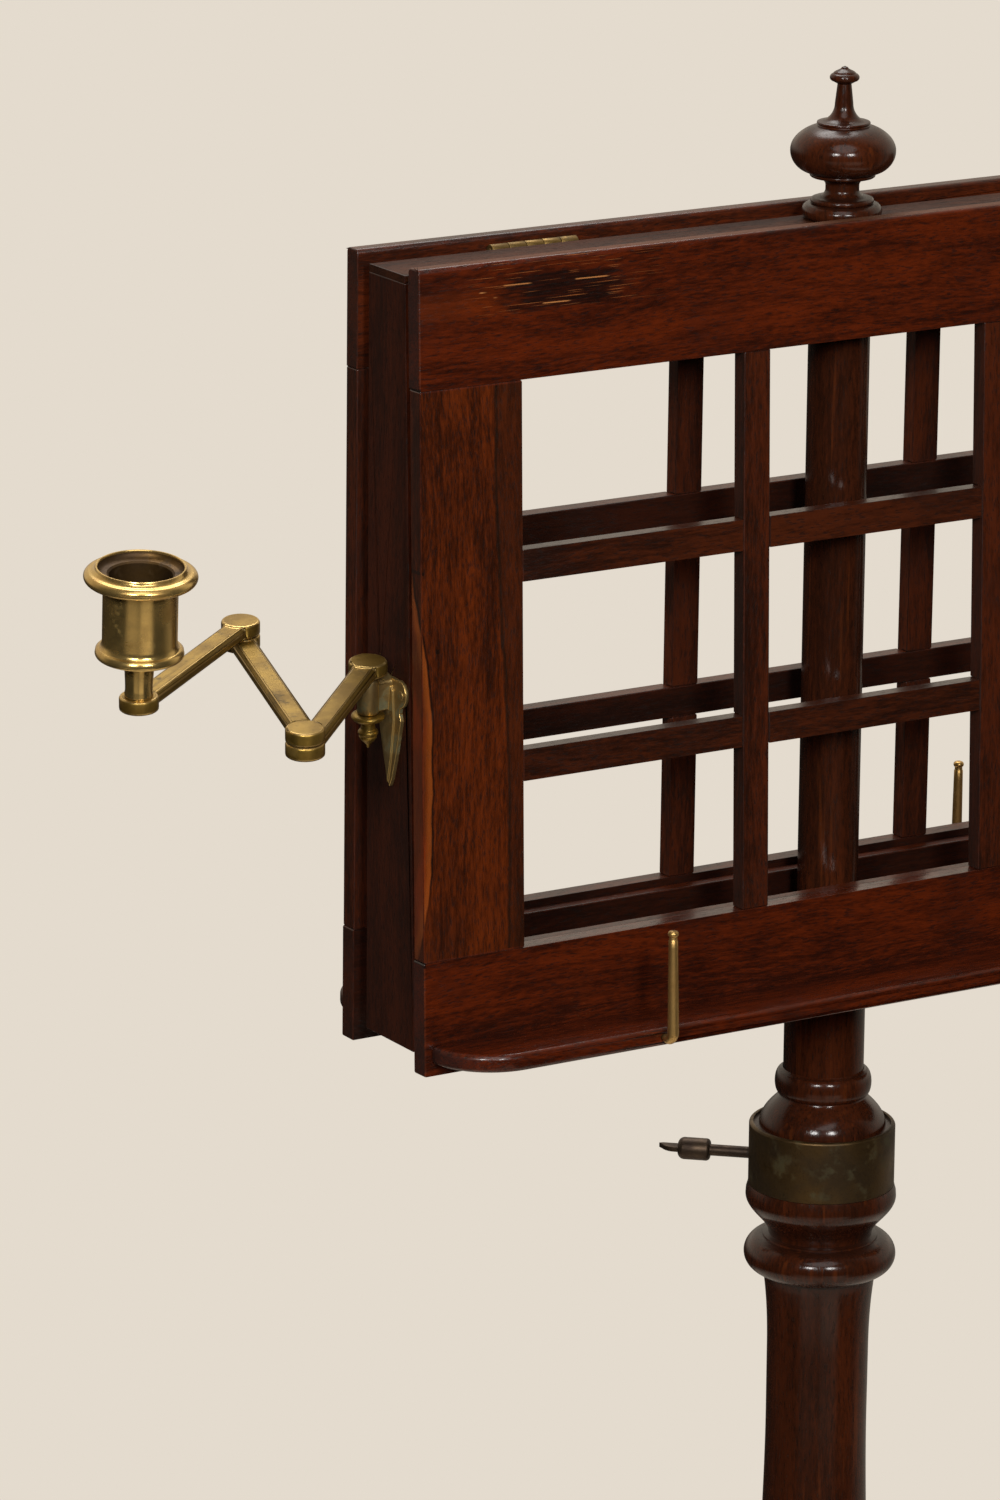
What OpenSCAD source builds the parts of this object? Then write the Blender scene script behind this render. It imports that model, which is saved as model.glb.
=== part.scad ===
// Duet music stand for two players: a pair of lattice slopes hinged back to back on a centre
// frame, on a pole that slides in a turned column with three cabriole legs, and a jointed
// candle arm at each end. X runs along the slopes, +Z is up, and the origin lies on the floor
// under the pole.

/* [Heights] */
// Height of the slopes' top edge above the floor
desk_top_h = 1165; // [1130:5:1400]
// Length of pole that shows between the column and the frame
pole_show = 56; // [44:1:90]

/* [Slopes] */
// Width of a slope
slope_w = 530; // [480:2:600]
// Height of a slope
slope_h = 400; // [390:1:420]
// Thickness of the slopes' rails and stiles
slope_t = 10; // [9:0.5:12]
// Width of a stile
stile_w = 57.5; // [52:0.5:64]
// Height of the top rail
top_rail_h = 59; // [50:0.5:68]
// Height of the bottom rail
bottom_rail_h = 57.5; // [52:0.5:60]
// Width of an upright lattice bar
bar_w = 15.3; // [12:0.1:20]
// Height of a level lattice bar
bar_h = 15.8; // [12:0.1:20]
// Thickness of the lattice bars
bar_t = 9; // [7:0.5:9]
// Amount by which the rails' end grain stands proud of the stiles
rail_proud = 0.3; // [0.1:0.1:0.6]
// Radius of the rounded top edges
top_round = 2.4; // [1:0.1:3]
// Angle at which the front slope stands open
front_open = 1.46; // [0.5:0.02:2.5]
// Angle at which the back slope stands open
back_open = 0.35; // [0:0.05:1.5]

/* [Ledges] */
// Thickness of a music ledge
ledge_t = 9.2; // [7:0.1:11]
// Distance by which a ledge stands out from its slope
ledge_out = 34; // [28:0.5:42]
// Height of a ledge's underside above the slope's lower edge
ledge_up = 6; // [2:0.5:12]
// Extra height of the back ledge over the front one
back_ledge_lift = 3.6; // [0:0.2:6]
// Distance of a ledge's ends from the slope's ends
ledge_inset = 4; // [0:0.5:12]
// Radius of the rounded nosing
nosing_r = 3; // [1:0.1:3.4]

/* [Page pins] */
// Distance of a page pin from the middle of the ledge
pin_x = 147.5; // [100:0.5:190]
// Height of a page pin above its foot
pin_h = 57; // [40:1:66]
// Distance of the back slope's right-hand page pin from the middle
back_pin_x = 134.8; // [100:0.2:190]
// Extra height of the back page pins
back_pin_extra = 6.2; // [0:0.2:12]
// Diameter of a page pin at its lower end
pin_d = 5.8; // [5:0.1:6.4]
// Distance of a page pin's rod in front of the ledge
pin_reach = 7.5; // [6.5:0.1:10]
// Diameter of the foot that turns in the ledge
pin_foot_d = 3.4; // [3:0.1:4]

/* [Frame] */
// Distance of the frame's ends from the slopes' ends
frame_inset = 2.3; // [1:0.1:6]
// Depth of the frame, front to back, at its top
frame_depth = 34; // [32.5:0.5:38]
// Extra depth of the end boards at the bottom, at the front
front_flare = 12.5; // [8:0.5:13]
// Thickness of an end board
end_board_t = 12; // [9:0.5:15]
// How much lower than the slopes the frame is
frame_short = 14.5; // [10:0.5:16]
// Distance of the frame's top below the slopes' top
frame_drop = 5.5; // [4:0.1:6.5]
// Thickness of the top board
top_board_t = 12; // [11:0.5:16]
// Thickness of the top board's tongue over an end board
tongue_t = 3.8; // [2:0.1:6]
// Thickness of the bottom board
bottom_board_t = 14; // [10:0.5:18]

/* [Hinges] */
// Length of a butt hinge
hinge_len = 49.5; // [40:0.5:60]
// Distance of a hinge from the slope's end
hinge_in = 72.5; // [60:0.5:110]
// Gap between the frame and a slope at the hinge
hinge_gap = 7; // [6.8:0.1:8]
// Depth of the hinge pin's axis below the slopes' top
hinge_drop = 7; // [6.5:0.1:8]
// Outer diameter of a hinge knuckle
knuckle_d = 6.4; // [6:0.1:6.6]
// Diameter of a hinge pin
hinge_pin_d = 2.6; // [2:0.1:3]
// Thickness of a hinge leaf
leaf_t = 1.3; // [1:0.1:1.6]

/* [Stays] */
// Distance of a stay's pivot below the hinge axis
stay_pivot_drop = 200; // [180:1:215]
// Thickness of a stay
stay_t = 7; // [6:0.5:7.5]
// Width of a stay's arm
stay_arm_w = 12; // [10:0.5:14]
// Height of a stay's crossbar
stay_bar_h = 13; // [10:0.5:13]
// Depth of the front stay's crossbar below its rail's top
front_stay_drop = 0.3; // [0:0.1:4]
// Depth of the back stay's crossbar below its rail's top
back_stay_drop = 3.8; // [0:0.1:6]
// Distance of a stay's arm from the frame's end board
stay_side_gap = 14.5; // [13:0.5:20]
// Height of a notched rack
rack_h = 88; // [60:4:100]
// Pitch of the rack's notches
rack_pitch = 11; // [9:0.5:14]
// Thickness of a rack
rack_t = 8; // [6:0.5:9]

/* [Pole] */
// Diameter of the post inside the frame
post_d = 31; // [28:0.5:31.5]
// Diameter of the pole below the frame
pole_d = 41.4; // [38:0.2:42]
// Free bore under the pole's end when the desk is down
bore_spare = 60; // [45:1:120]
// Radial clearance of the pole in the column
pole_fit = 0.3; // [0.2:0.05:0.5]

/* [Column] */
// Diameter of the column's shaft
shaft_d = 52.4; // [50:0.2:58]
// Diameter of the half-round ring below the collar
torus_d = 77.8; // [72:0.2:84]
// Diameter of the vase near the foot
vase_d = 92; // [80:1:104]
// Diameter of the boss that the legs are housed in
boss_d = 76; // [72:1:84]
// Height of the boss's underside above the floor
boss_z = 108; // [100:1:112]
// Height of the boss
boss_h = 100; // [98:1:110]

/* [Collar and thumb screw] */
// Outer diameter of the collar
collar_d = 75.4; // [73:0.2:80]
// Height of the collar
collar_h = 33; // [28:0.5:34]
// Wall thickness of the collar
collar_wall = 2.2; // [1.6:0.1:3]
// Depth of the collar's rim below the column's top
collar_drop = 31; // [30:0.5:32]
// Direction in which the thumb screw points
screw_turn = 138; // [125:1:150]
// Depth of the thumb screw below the column's top
screw_drop = 51; // [46:0.5:54]
// Diameter of the thumb screw's shank
screw_d = 6; // [5:0.1:7]
// Diameter of the thumb screw's barrel
screw_barrel_d = 11.6; // [10:0.1:14]
// Length of the shank outside the collar
screw_neck = 20.4; // [14:0.2:30]
// Length of the barrel
screw_barrel_len = 16.8; // [12:0.2:24]
// Length of the flattened thumb piece
screw_thumb_len = 10.4; // [8:0.2:18]

/* [Legs] */
// Distance of a foot's centre from the column's axis
leg_reach = 262; // [230:2:300]
// Width of a leg where it leaves the boss
leg_root_w = 30; // [26:0.5:32]
// Diameter of a foot pad
foot_d = 46; // [40:1:56]
// Height of a foot pad
foot_h = 10; // [8:0.5:14]

/* [Candle arms] */
// Length of the inner link between its pivots
link_1 = 105.5; // [95:0.5:110]
// Length of the middle link between its pivots
link_2 = 122; // [110:0.5:126]
// Length of the outer link between its pivots
link_3 = 106.5; // [95:0.5:112]
// Diameter of a link's round eye
eye_d = 19; // [17:0.1:21]
// Thickness of a link
link_t = 7; // [6:0.1:8]
// Width of a link's bar
link_w = 12.4; // [10:0.1:13]
// Gap between one link and the next
link_gap = 0.2; // [0.1:0.05:0.4]
// Diameter of a link's pivot
pivot_d = 5; // [4:0.1:6]
// Outward lean of the bracket's spindle
lean_out = 4; // [0:0.5:6]
// Forward lean of the bracket's spindle
lean_forward = 6.3; // [0:0.1:8]
// Distance of the spindle's top from the end board
spindle_out = 14.3; // [13.6:0.1:18]
// Depth of the inner link's top below the slopes' top
arm_drop = 195.2; // [180:0.2:215]
// Distance of the bracket's middle in front of the pole
bracket_y = 8.1; // [6:0.1:9]

/* [Candle sockets] */
// Bore of a candle socket
candle_d = 30.4; // [22:0.2:31]
// Depth of a candle socket
candle_depth = 34; // [20:1:36]
// Diameter of a socket's body
socket_d = 35.8; // [35:0.2:40]
// Diameter of a socket's rim
rim_d = 54.4; // [50:0.2:60]
// Diameter of a socket's lower flange
flange_d = 42.4; // [40:0.2:48]

/* [Hidden] */

mahogany = [0.30, 0.10, 0.05];
rail_wood = [0.36, 0.12, 0.06];
dark_wood = [0.20, 0.06, 0.04];
brass = [0.62, 0.48, 0.22];
pale_brass = [0.78, 0.62, 0.30];
bronze = [0.22, 0.17, 0.09];
iron = [0.20, 0.15, 0.12];

side_front = 0;
side_back = 180;
eps = 0.01;
turn_fn = 96;
small_fn = 48;

frame_half = slope_w / 2 - frame_inset;
frame_top = -frame_drop;
frame_h = slope_h - frame_short;
frame_bottom = frame_top - frame_h;
column_h = desk_top_h + frame_bottom - pole_show;
half_depth = frame_depth / 2;
hinge_y = half_depth + hinge_gap / 2;
slope_y = half_depth + hinge_gap;
ledge_y = slope_y + slope_t;
window_w = (slope_w - 2 * stile_w - 2 * bar_w) / 3;
window_h = (slope_h - top_rail_h - bottom_rail_h - 2 * bar_h) / 3;
rail_top_z = -slope_h + bottom_rail_h;
ledge_z = -slope_h + ledge_up;
pin_y = ledge_y + ledge_out + pin_reach;
pin_z = ledge_z + ledge_t / 2;
pin_foot_in = 12;
inner_half = frame_half - end_board_t;
stay_arm_x = inner_half - stay_side_gap - stay_arm_w / 2;
stay_clear = 0.3;
stay_y = slope_y - stay_clear - stay_t / 2;
stay_z = -hinge_drop - stay_pivot_drop;
stay_pin_d = 3;
ear_t = 1.5;
rack_clear = 1.5;
rack_depth = half_depth - rack_clear - 4;
rack_z = rail_top_z - 14;
post_fit = 0.1;
post_socket = 5;
column_bore_d = pole_d + 2 * pole_fit;
bore_floor = boss_z + boss_h + 1;
pole_len = desk_top_h + frame_bottom - bore_floor - bore_spare;
collar_z = column_h - collar_drop;
collar_seat_d = collar_d - 2 * collar_wall;
screw_z = column_h - screw_drop;
screw_hole_d = screw_d + 0.5;
level = link_t + link_gap;
rest_1 = -136.8;
rest_2 = 74.8;
rest_3 = -146.4;
spindle_d = 6;
spindle_fit = 0.05;
barrel_top = -link_t - 1.5;
barrel_len = 18.8;
stem_h = 20;
// The sockets have settled a little towards the pole on their pivots
socket_lean = [0.9, 1.4, 0];

// Points along an arc from angle a0 to a1 about (cr, cz)
function arc(cr, cz, rad, a0, a1, n = 10) =
  [for (i = [0 : n]) let (a = a0 + (a1 - a0) * i / n) [cr + rad * cos(a), cz + rad * sin(a)]];

// Points of an elliptical bulge: half height h, from radius r0 out to r1 and back to r0
function bulge(r0, r1, z0, z1, n = 12) =
  [for (i = [0 : n]) let (t = i / n) [r0 + (r1 - r0) * sin(180 * t), z0 + (z1 - z0) * (1 - cos(180 * t)) / 2]];

// Points of a smooth S-shaped sweep between two radii
function sweep(r0, z0, r1, z1, n = 8) =
  [for (i = [0 : n]) let (t = i / n) [r0 + (r1 - r0) * (1 - cos(180 * t)) / 2, z0 + (z1 - z0) * t]];

// Points of a curve that leaves (r0, z0) upright and reaches (r1, z1) level
function up_level(r0, z0, r1, z1, p = 1, n = 8) =
  [for (i = [0 : n]) let (a = 90 * i / n) [r1 + (r0 - r1) * pow(cos(a), p), z0 + (z1 - z0) * sin(a)]];

// Points of a curve that leaves (r0, z0) level and reaches (r1, z1) upright
function level_up(r0, z0, r1, z1, p = 1, n = 8) =
  [for (i = [0 : n]) let (a = 90 * i / n) [r0 + (r1 - r0) * pow(sin(a), p), z0 + (z1 - z0) * (1 - cos(a))]];

// Points of a torus whose lower and upper edges have different radii
function torus(r0, z0, wide, r1, z1, n = 14) =
  [for (i = [0 : n]) let (a = 180 * i / n - 90, edge = a < 0 ? r0 : r1)
    [wide - (wide - edge) * (1 - cos(a)), (z0 + z1) / 2 + (z1 - z0) / 2 * sin(a)]];

module turned(points) {
  rotate_extrude($fn = turn_fn) polygon(points);
}

// A 2D section drawn as (y, z) and run along X from x0 to x1
module along_x(x0, x1) {
  translate([x0, 0, 0]) rotate([90, 0, 90]) linear_extrude(x1 - x0) children();
}

module at_desk() {
  translate([0, 0, desk_top_h]) children();
}

// Places a slope's parts, drawn upright on the front side, on the front or the back
module on_slope(side, open) {
  at_desk() rotate([0, 0, side]) translate([0, -hinge_y, -hinge_drop]) rotate([-open, 0, 0])
    translate([0, hinge_y, hinge_drop]) children();
}

module each_hinge() {
  for (x = [-slope_w / 2 + hinge_in, slope_w / 2 - hinge_in - hinge_len])
    translate([x, -hinge_y, -hinge_drop]) children();
}

// Column and legs

module column_profile() {
  t = column_h;
  rb = column_bore_d / 2;
  rs = shaft_d / 2;
  rt = torus_d / 2;
  rc = collar_seat_d / 2;
  rv = vase_d / 2;
  ro = boss_d / 2;
  ct = collar_z - 1.5;
  cb = collar_z - collar_h;
  vb = boss_z + boss_h + 18;
  bead_r = 4.7;
  bead_end = acos((rb + 0.1 - (rs - 6.4)) / bead_r);
  polygon(concat(
    [[0, boss_z], [ro - 2, boss_z], [ro, boss_z + 2], [ro, boss_z + boss_h - 3], [ro - 3, boss_z + boss_h]],
    [[ro - 7, boss_z + boss_h]],
    bulge(ro - 8, ro - 1, boss_z + boss_h + 1, vb - 5, 10),
    [[ro - 9, vb - 4], [ro - 11, vb]],
    sweep(ro - 11, vb, rv, vb + 62, 12),
    sweep(rv, vb + 70, rs + 1, vb + 176, 16),
    bulge(rs + 1, rs + 7, vb + 178, vb + 190, 10),
    [[rs + 2, vb + 191]],
    sweep(rs + 2, vb + 193, rs, t - 170, 10),
    sweep(rs, t - 134, rs + 2.4, t - 118, 6),
    torus(rt - 8.8, t - 112.5, rt, rt - 5.4, t - 92),
    [[rt - 6.4, t - 91.5]],
    sweep(rs - 2.2, t - 90, rc + 3, t - 70, 14),
    [[rc + 2.8, t - 66.5], [rc + 2, cb], [rc, cb], [rc, ct]],
    sweep(rc - 2, ct + 0.1, rs - 3.5, t - 14.5, 14),
    arc(rs - 6.4, t - 6.1, bead_r, -55, bead_end, 12),
    [[rb, t - 1.5], [rb, bore_floor], [0, bore_floor]]));
}

module column() {
  color(dark_wood) difference() {
    rotate_extrude($fn = turn_fn) column_profile();
    for (i = [0 : 2]) rotate([0, 0, 120 * i])
      translate([leg_root_r, -leg_root_w / 2, boss_z - 1]) cube([boss_d, leg_root_w, leg_root_h + 1]);
    translate([0, 0, screw_z]) rotate([0, 90, screw_turn])
      cylinder(d = screw_hole_d, h = collar_d, $fn = small_fn);
    translate([0, 0, boss_z - eps]) cylinder(d = drop_spigot_d, h = drop_spigot_h, $fn = small_fn);
  }
}

leg_root_r = boss_d / 2 - 6;
leg_root_h = boss_h - 6;
leg_mid_z = boss_z + leg_root_h / 2;
drop_spigot_d = 14;
drop_spigot_h = 24;
leg_rings = 22;
leg_sides = 20;
leg_end_r = leg_reach + foot_d * 0.36;
leg_foot_z = foot_h + 10;

// A leg's centre line is a cubic curve that leaves the boss level and arrives level at the foot
function leg_at(t) = let (s = 1 - t, p0 = [leg_root_r, leg_mid_z], p1 = [leg_reach * 0.56, leg_mid_z],
    p2 = [leg_reach * 0.56, leg_foot_z], p3 = [leg_end_r, leg_foot_z])
  s * s * s * p0 + 3 * s * s * t * p1 + 3 * s * t * t * p2 + t * t * t * p3;
function leg_run(t) = t <= 0 || t >= 1 ? 0 : let (d = leg_at(min(t + 0.01, 1)) - leg_at(max(t - 0.01, 0))) atan2(d[1], d[0]);
function leg_half_h(t) = 10 + (leg_root_h / 2 - 10) * pow(1 - t, 2.1) + 2 * pow(t, 6);
function leg_half_w(t) = 9.5 + (leg_root_w / 2 - 9.5) * pow(1 - t, 1.5) + 7 * pow(t, 5);
function leg_square(t) = 3 + 9 * pow(1 - t, 3);
function signed_power(v, p) = sign(v) * pow(abs(v), p);
function leg_ring(t) = let (c = leg_at(t), a = leg_run(t), e = 2 / leg_square(t))
  [for (j = [0 : leg_sides - 1]) let (q = 360 * (j + 0.5) / leg_sides,
      u = leg_half_w(t) * signed_power(cos(q), e), v = leg_half_h(t) * signed_power(sin(q), e))
    [c[0] - v * sin(a), u, c[1] + v * cos(a)]];

module leg() {
  rings = [for (i = [0 : leg_rings]) each leg_ring(i / leg_rings)];
  sides = [for (i = [0 : leg_rings - 1], j = [0 : leg_sides - 1])
    let (k = (j + 1) % leg_sides, a = i * leg_sides, b = a + leg_sides) [a + j, a + k, b + k, b + j]];
  last = leg_rings * leg_sides;
  ends = [[for (j = [leg_sides - 1 : -1 : 0]) j], [for (j = [0 : leg_sides - 1]) last + j]];
  color(mahogany) intersection() {
    polyhedron(rings, concat(sides, ends));
    translate([0, -leg_root_w, foot_h]) cube([leg_end_r + 20, 2 * leg_root_w, boss_z + boss_h]);
  }
}

module foot_pads() {
  r = foot_d / 2;
  color(mahogany) for (i = [0 : 2]) rotate([0, 0, 120 * i]) translate([leg_reach, 0, 0])
    turned(concat([[0, 0], [r - 5, 0]], arc(r - 4, 4.5, 4, -90, 80, 8), [[r - 6, foot_h], [0, foot_h]]));
}

module base_plate() {
  r = boss_d / 2 - 7;
  plate_t = 3;
  color(iron) translate([0, 0, boss_z - plate_t]) difference() {
    cylinder(r = r, h = plate_t, $fn = turn_fn);
    translate([0, 0, -1]) cylinder(d = drop_spigot_d, h = plate_t + 2, $fn = small_fn);
  }
}

module base_drop() {
  plate_t = 3;
  z = boss_z - plate_t;
  color(dark_wood) turned(concat([[0, z - 46]], arc(0, z - 40, 6, -90, 40, 6),
    sweep(4.4, z - 34, 15, z - 22, 6), bulge(15, 19, z - 21, z - 9, 8), [[13, z - 8]],
    sweep(13, z - 7, 22, z - 2, 5), [[22, z], [drop_spigot_d / 2, z],
    [drop_spigot_d / 2, boss_z + drop_spigot_h - 0.5], [0, boss_z + drop_spigot_h - 0.5]]));
}

// Collar and thumb screw

module collar() {
  r = collar_d / 2;
  color(bronze) difference() {
    translate([0, 0, collar_z - collar_h]) turned([[r - collar_wall, 0], [r - 0.5, 0], [r, 0.6],
      [r, collar_h - 1.6], [r - 0.5, collar_h - 0.5], [r - 1.4, collar_h], [r - collar_wall, collar_h - 0.5]]);
    translate([0, 0, screw_z]) rotate([0, 90, screw_turn])
      cylinder(d = screw_d + 2 * spindle_fit, h = collar_d, $fn = small_fn);
  }
}

module thumb_screw() {
  start = pole_d / 2 + 0.5;
  neck = collar_d / 2 + screw_neck;
  rb = screw_barrel_d / 2;
  rs = screw_d / 2;
  blade = 2.6;
  tip = screw_barrel_len + screw_thumb_len;
  color(iron) translate([0, 0, screw_z]) rotate([0, 90, screw_turn]) {
    translate([0, 0, start]) cylinder(d = screw_d, h = neck - start + 1, $fn = small_fn);
    translate([0, 0, neck]) turned(concat([[0, 0], [rs, 0]], arc(rb - 2, 2, 2, -80, 0, 4),
      arc(rb - 3.4, screw_barrel_len - 3.4, 3.4, 0, 75, 6), [[rb - 3.6, screw_barrel_len], [0, screw_barrel_len]]));
    translate([0, 0, neck]) rotate([90, 0, 90]) translate([0, 0, -blade / 2]) linear_extrude(blade)
      polygon(concat([[-rb * 0.62, screw_barrel_len - 1], [rb * 0.62, screw_barrel_len - 1]],
        arc(rb * 0.62 - 7, screw_barrel_len + 2, 7, 0, 62, 6), [[-rb * 0.48, tip], [-rb * 0.62, tip - 2]]));
  }
}

// Pole

module pole() {
  shoulder = desk_top_h + frame_bottom;
  post_end = desk_top_h + frame_top - top_board_t + post_socket - 0.3;
  color(dark_wood) {
    translate([0, 0, shoulder - pole_len]) turned([[0, 0], [pole_d / 2 - 2, 0], [pole_d / 2, 2],
      [pole_d / 2, pole_len], [0, pole_len]]);
    translate([0, 0, shoulder - eps]) cylinder(d = post_d, h = post_end - shoulder, $fn = turn_fn);
  }
}

// Centre frame

module end_board(side) {
  x0 = inner_half;
  top = frame_top - tongue_t;
  color(mahogany) at_desk() difference() {
    mirror([side < 0 ? 1 : 0, 0, 0]) along_x(x0, frame_half)
      polygon([[half_depth, frame_bottom], [half_depth, top], [-half_depth, top],
        [-half_depth - front_flare, frame_bottom]]);
    bracket_screw_holes(side);
  }
}

module top_board() {
  color(mahogany) at_desk() difference() {
    union() {
      along_x(-inner_half, inner_half) translate([-half_depth, frame_top - top_board_t])
        square([frame_depth, top_board_t]);
      along_x(-frame_half, frame_half) translate([-half_depth, frame_top - tongue_t])
        square([frame_depth, tongue_t]);
    }
    translate([0, 0, frame_top - top_board_t - 1])
      cylinder(d = post_d + 2 * post_fit, h = post_socket + 1, $fn = turn_fn);
    translate([0, 0, frame_top - top_board_t]) cylinder(d = finial_spigot_d, h = top_board_t + 1, $fn = small_fn);
    hinge_screw_holes(0);
    hinge_screw_holes(180);
  }
}

module bottom_board() {
  color(mahogany) at_desk() difference() {
    along_x(-inner_half, inner_half) translate([-half_depth, frame_bottom])
      square([frame_depth, bottom_board_t]);
    translate([0, 0, frame_bottom - 1])
      cylinder(d = post_d + 2 * post_fit, h = bottom_board_t + 2, $fn = turn_fn);
  }
}

finial_spigot_d = 10;
finial_spigot_h = 6.4;

module finial() {
  foot = 16.5;
  waist = 8.45;
  widest = 26.3;
  shoulder = 13.2;
  knob = 7.4;
  color(dark_wood) at_desk() translate([0, 0, frame_top]) turned(concat(
    [[0, -finial_spigot_h], [finial_spigot_d / 2, -finial_spigot_h], [finial_spigot_d / 2, 0], [18, 0]],
    arc(foot - 0.5, 4.1, 4.1, -80, 60, 8), [[foot - 0.5, 8.0]],
    arc(foot - 2.0, 9.3, 1.4, -70, 70, 5),
    level_up(foot - 2.3, 10.9, waist, 15, 1, 6),
    up_level(waist, 17, foot - 0.8, 21.2, 1, 6), arc(foot - 1.1, 22.2, 1, -60, 60, 4),
    level_up(foot - 0.2, 23.4, widest, 34.2, 1.15, 10),
    up_level(widest, 34.6, shoulder - 0.2, 46.9, 1.4, 10),
    [[shoulder - 0.4, 47.4], [shoulder + 0.2, 48.2], [shoulder, 48.8]],
    level_up(shoulder - 0.4, 49, 4.6, 58, 1, 8), [[3.5, 67.8]],
    arc(knob - 1.9, 71, 1.9, -80, 55, 7), sweep(knob - 1.7, 73, 1.6, 76, 5), [[0, 76.7]]));
}

module racks() {
  notch = 4.5;
  color(rail_wood) at_desk() for (side = [-1, 1], face = [-1, 1])
    translate([side < 0 ? -inner_half : inner_half - rack_t, 0, 0]) along_x(0, rack_t)
      difference() {
        translate([face < 0 ? -rack_depth - 4 : 4, rack_z]) square([rack_depth, rack_h]);
        for (z = [rack_z + 6 : rack_pitch : rack_z + rack_h - 8])
          polygon([[face * (rack_depth + 5), z], [face * (rack_depth + 4 - notch), z],
            [face * (rack_depth + 5), z + notch + 2]]);
      }
}

// Hinges

module knuckles(first, count) {
  pitch = hinge_len / 5;
  play = 0.15;
  for (i = [first : 2 : 4]) translate([pitch * i + play, 0, 0]) rotate([0, 90, 0])
    cylinder(d = knuckle_d, h = pitch - 2 * play, $fn = small_fn);
}

leaf_h = top_board_t + frame_drop - hinge_drop - 0.6;

module leaf(wall, first) {
  difference() {
    union() {
      knuckles(first, 3);
      intersection() {
        translate([0, wall > 0 ? wall - leaf_t : wall, -leaf_h]) cube([hinge_len, leaf_t, leaf_h]);
        union() {
          translate([0, -hinge_gap, -leaf_h]) cube([hinge_len, 2 * hinge_gap, leaf_h - knuckle_d / 2 - 0.4]);
          for (i = [first : 2 : 4]) translate([hinge_len / 5 * i + 0.15, -hinge_gap, -leaf_h])
            cube([hinge_len / 5 - 0.3, 2 * hinge_gap, leaf_h]);
        }
      }
    }
    translate([-1, 0, 0]) rotate([0, 90, 0])
      cylinder(d = hinge_pin_d + 0.1, h = hinge_len + 2, $fn = small_fn);
    each_hinge_screw() translate([0, -hinge_gap, 0]) rotate([-90, 0, 0])
      cylinder(d = screw_shank_d, h = 2 * hinge_gap, $fn = 24);
  }
}

module frame_hinge_leaves() {
  color(pale_brass) for (side = [side_front, side_back]) at_desk() rotate([0, 0, side])
    each_hinge() leaf(hinge_gap / 2, 0);
}

module slope_hinge_leaves() {
  color(pale_brass) each_hinge() leaf(-hinge_gap / 2, 1);
}

module hinge_pins() {
  color(pale_brass) for (side = [side_front, side_back]) at_desk() rotate([0, 0, side])
    each_hinge() rotate([0, 90, 0]) cylinder(d = hinge_pin_d, h = hinge_len, $fn = small_fn);
}

screw_head_d = 4;
screw_shank_d = 2.2;
screw_shank_len = 6;

// Countersunk screw driven along +Y from y = 0, with its head standing on the leaf
module wood_screw() {
  rotate([-90, 0, 0]) {
    cylinder(d = screw_shank_d, h = screw_shank_len, $fn = 24);
    translate([0, 0, -leaf_t - 0.5]) cylinder(d = screw_head_d, h = 0.5, $fn = 24);
    translate([0, 0, -leaf_t]) cylinder(d = screw_shank_d, h = leaf_t, $fn = 24);
  }
}

module each_hinge_screw() {
  for (k = [0.14, 0.5, 0.86]) translate([hinge_len * k, 0, -leaf_h * 0.68]) children();
}

module hinge_screw_holes(side) {
  rotate([0, 0, side]) each_hinge() each_hinge_screw() translate([0, hinge_gap / 2, 0])
    rotate([-90, 0, 0]) cylinder(d = screw_shank_d, h = screw_shank_len, $fn = 24);
}

bracket_screw_y = 11.5;
bracket_screw_z = -arm_drop - 16.9;

module bracket_screw_holes(side) {
  for (s = [-1, 1]) translate([side * frame_half, -bracket_y + s * bracket_screw_y, bracket_screw_z])
    rotate([0, -90 * side, 0]) cylinder(d = screw_shank_d, h = screw_shank_len, $fn = 24);
}

module frame_screws() {
  head = 4.6;
  color(brass) at_desk() {
    for (side = [side_front, side_back]) rotate([0, 0, side]) each_hinge() each_hinge_screw()
      translate([0, hinge_gap / 2, 0]) leaf_screw();
    for (side = [-1, 1], s = [-1, 1])
      translate([side * frame_half, -bracket_y + s * bracket_screw_y, bracket_screw_z])
        rotate([0, 90 * side, 0]) {
          translate([0, 0, -screw_shank_len])
            cylinder(d = screw_shank_d, h = screw_shank_len + plate_t, $fn = 24);
          translate([0, 0, plate_t]) cylinder(d = head, h = 0.8, $fn = 24);
        }
  }
}

module leaf_screw() {
  rotate([-90, 0, 0]) {
    translate([0, 0, -leaf_t - 0.4]) cylinder(d = screw_shank_d, h = screw_shank_len + leaf_t + 0.4, $fn = 24);
    translate([0, 0, -leaf_t - 0.4]) cylinder(d = screw_head_d, h = 0.4, $fn = 24);
  }
}

// Slopes

module rounded_top(t, h, r) {
  square([t, h - r]);
  translate([r, 0]) square([t - 2 * r, h]);
  for (x = [r, t - r]) translate([x, h - r]) circle(r, $fn = small_fn);
}

module top_rail() {
  color(rail_wood) difference() {
    along_x(-slope_w / 2, slope_w / 2) translate([-slope_y - slope_t, -top_rail_h])
      rounded_top(slope_t, top_rail_h, top_round);
    slope_screw_holes();
  }
}

module bottom_rail() {
  color(rail_wood) translate([-slope_w / 2, -slope_y - slope_t, -slope_h])
    cube([slope_w, slope_t, bottom_rail_h]);
}

module stile(side) {
  x = side < 0 ? -slope_w / 2 + rail_proud : slope_w / 2 - stile_w;
  color(mahogany) difference() {
    translate([x, -slope_y - slope_t, rail_top_z])
      cube([stile_w - rail_proud, slope_t, slope_h - top_rail_h - bottom_rail_h]);
    slope_screw_holes();
  }
}

function bar_x(i) = -slope_w / 2 + stile_w + window_w + i * (window_w + bar_w);
function bar_z(i) = -top_rail_h - window_h - bar_h - i * (window_h + bar_h);

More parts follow.
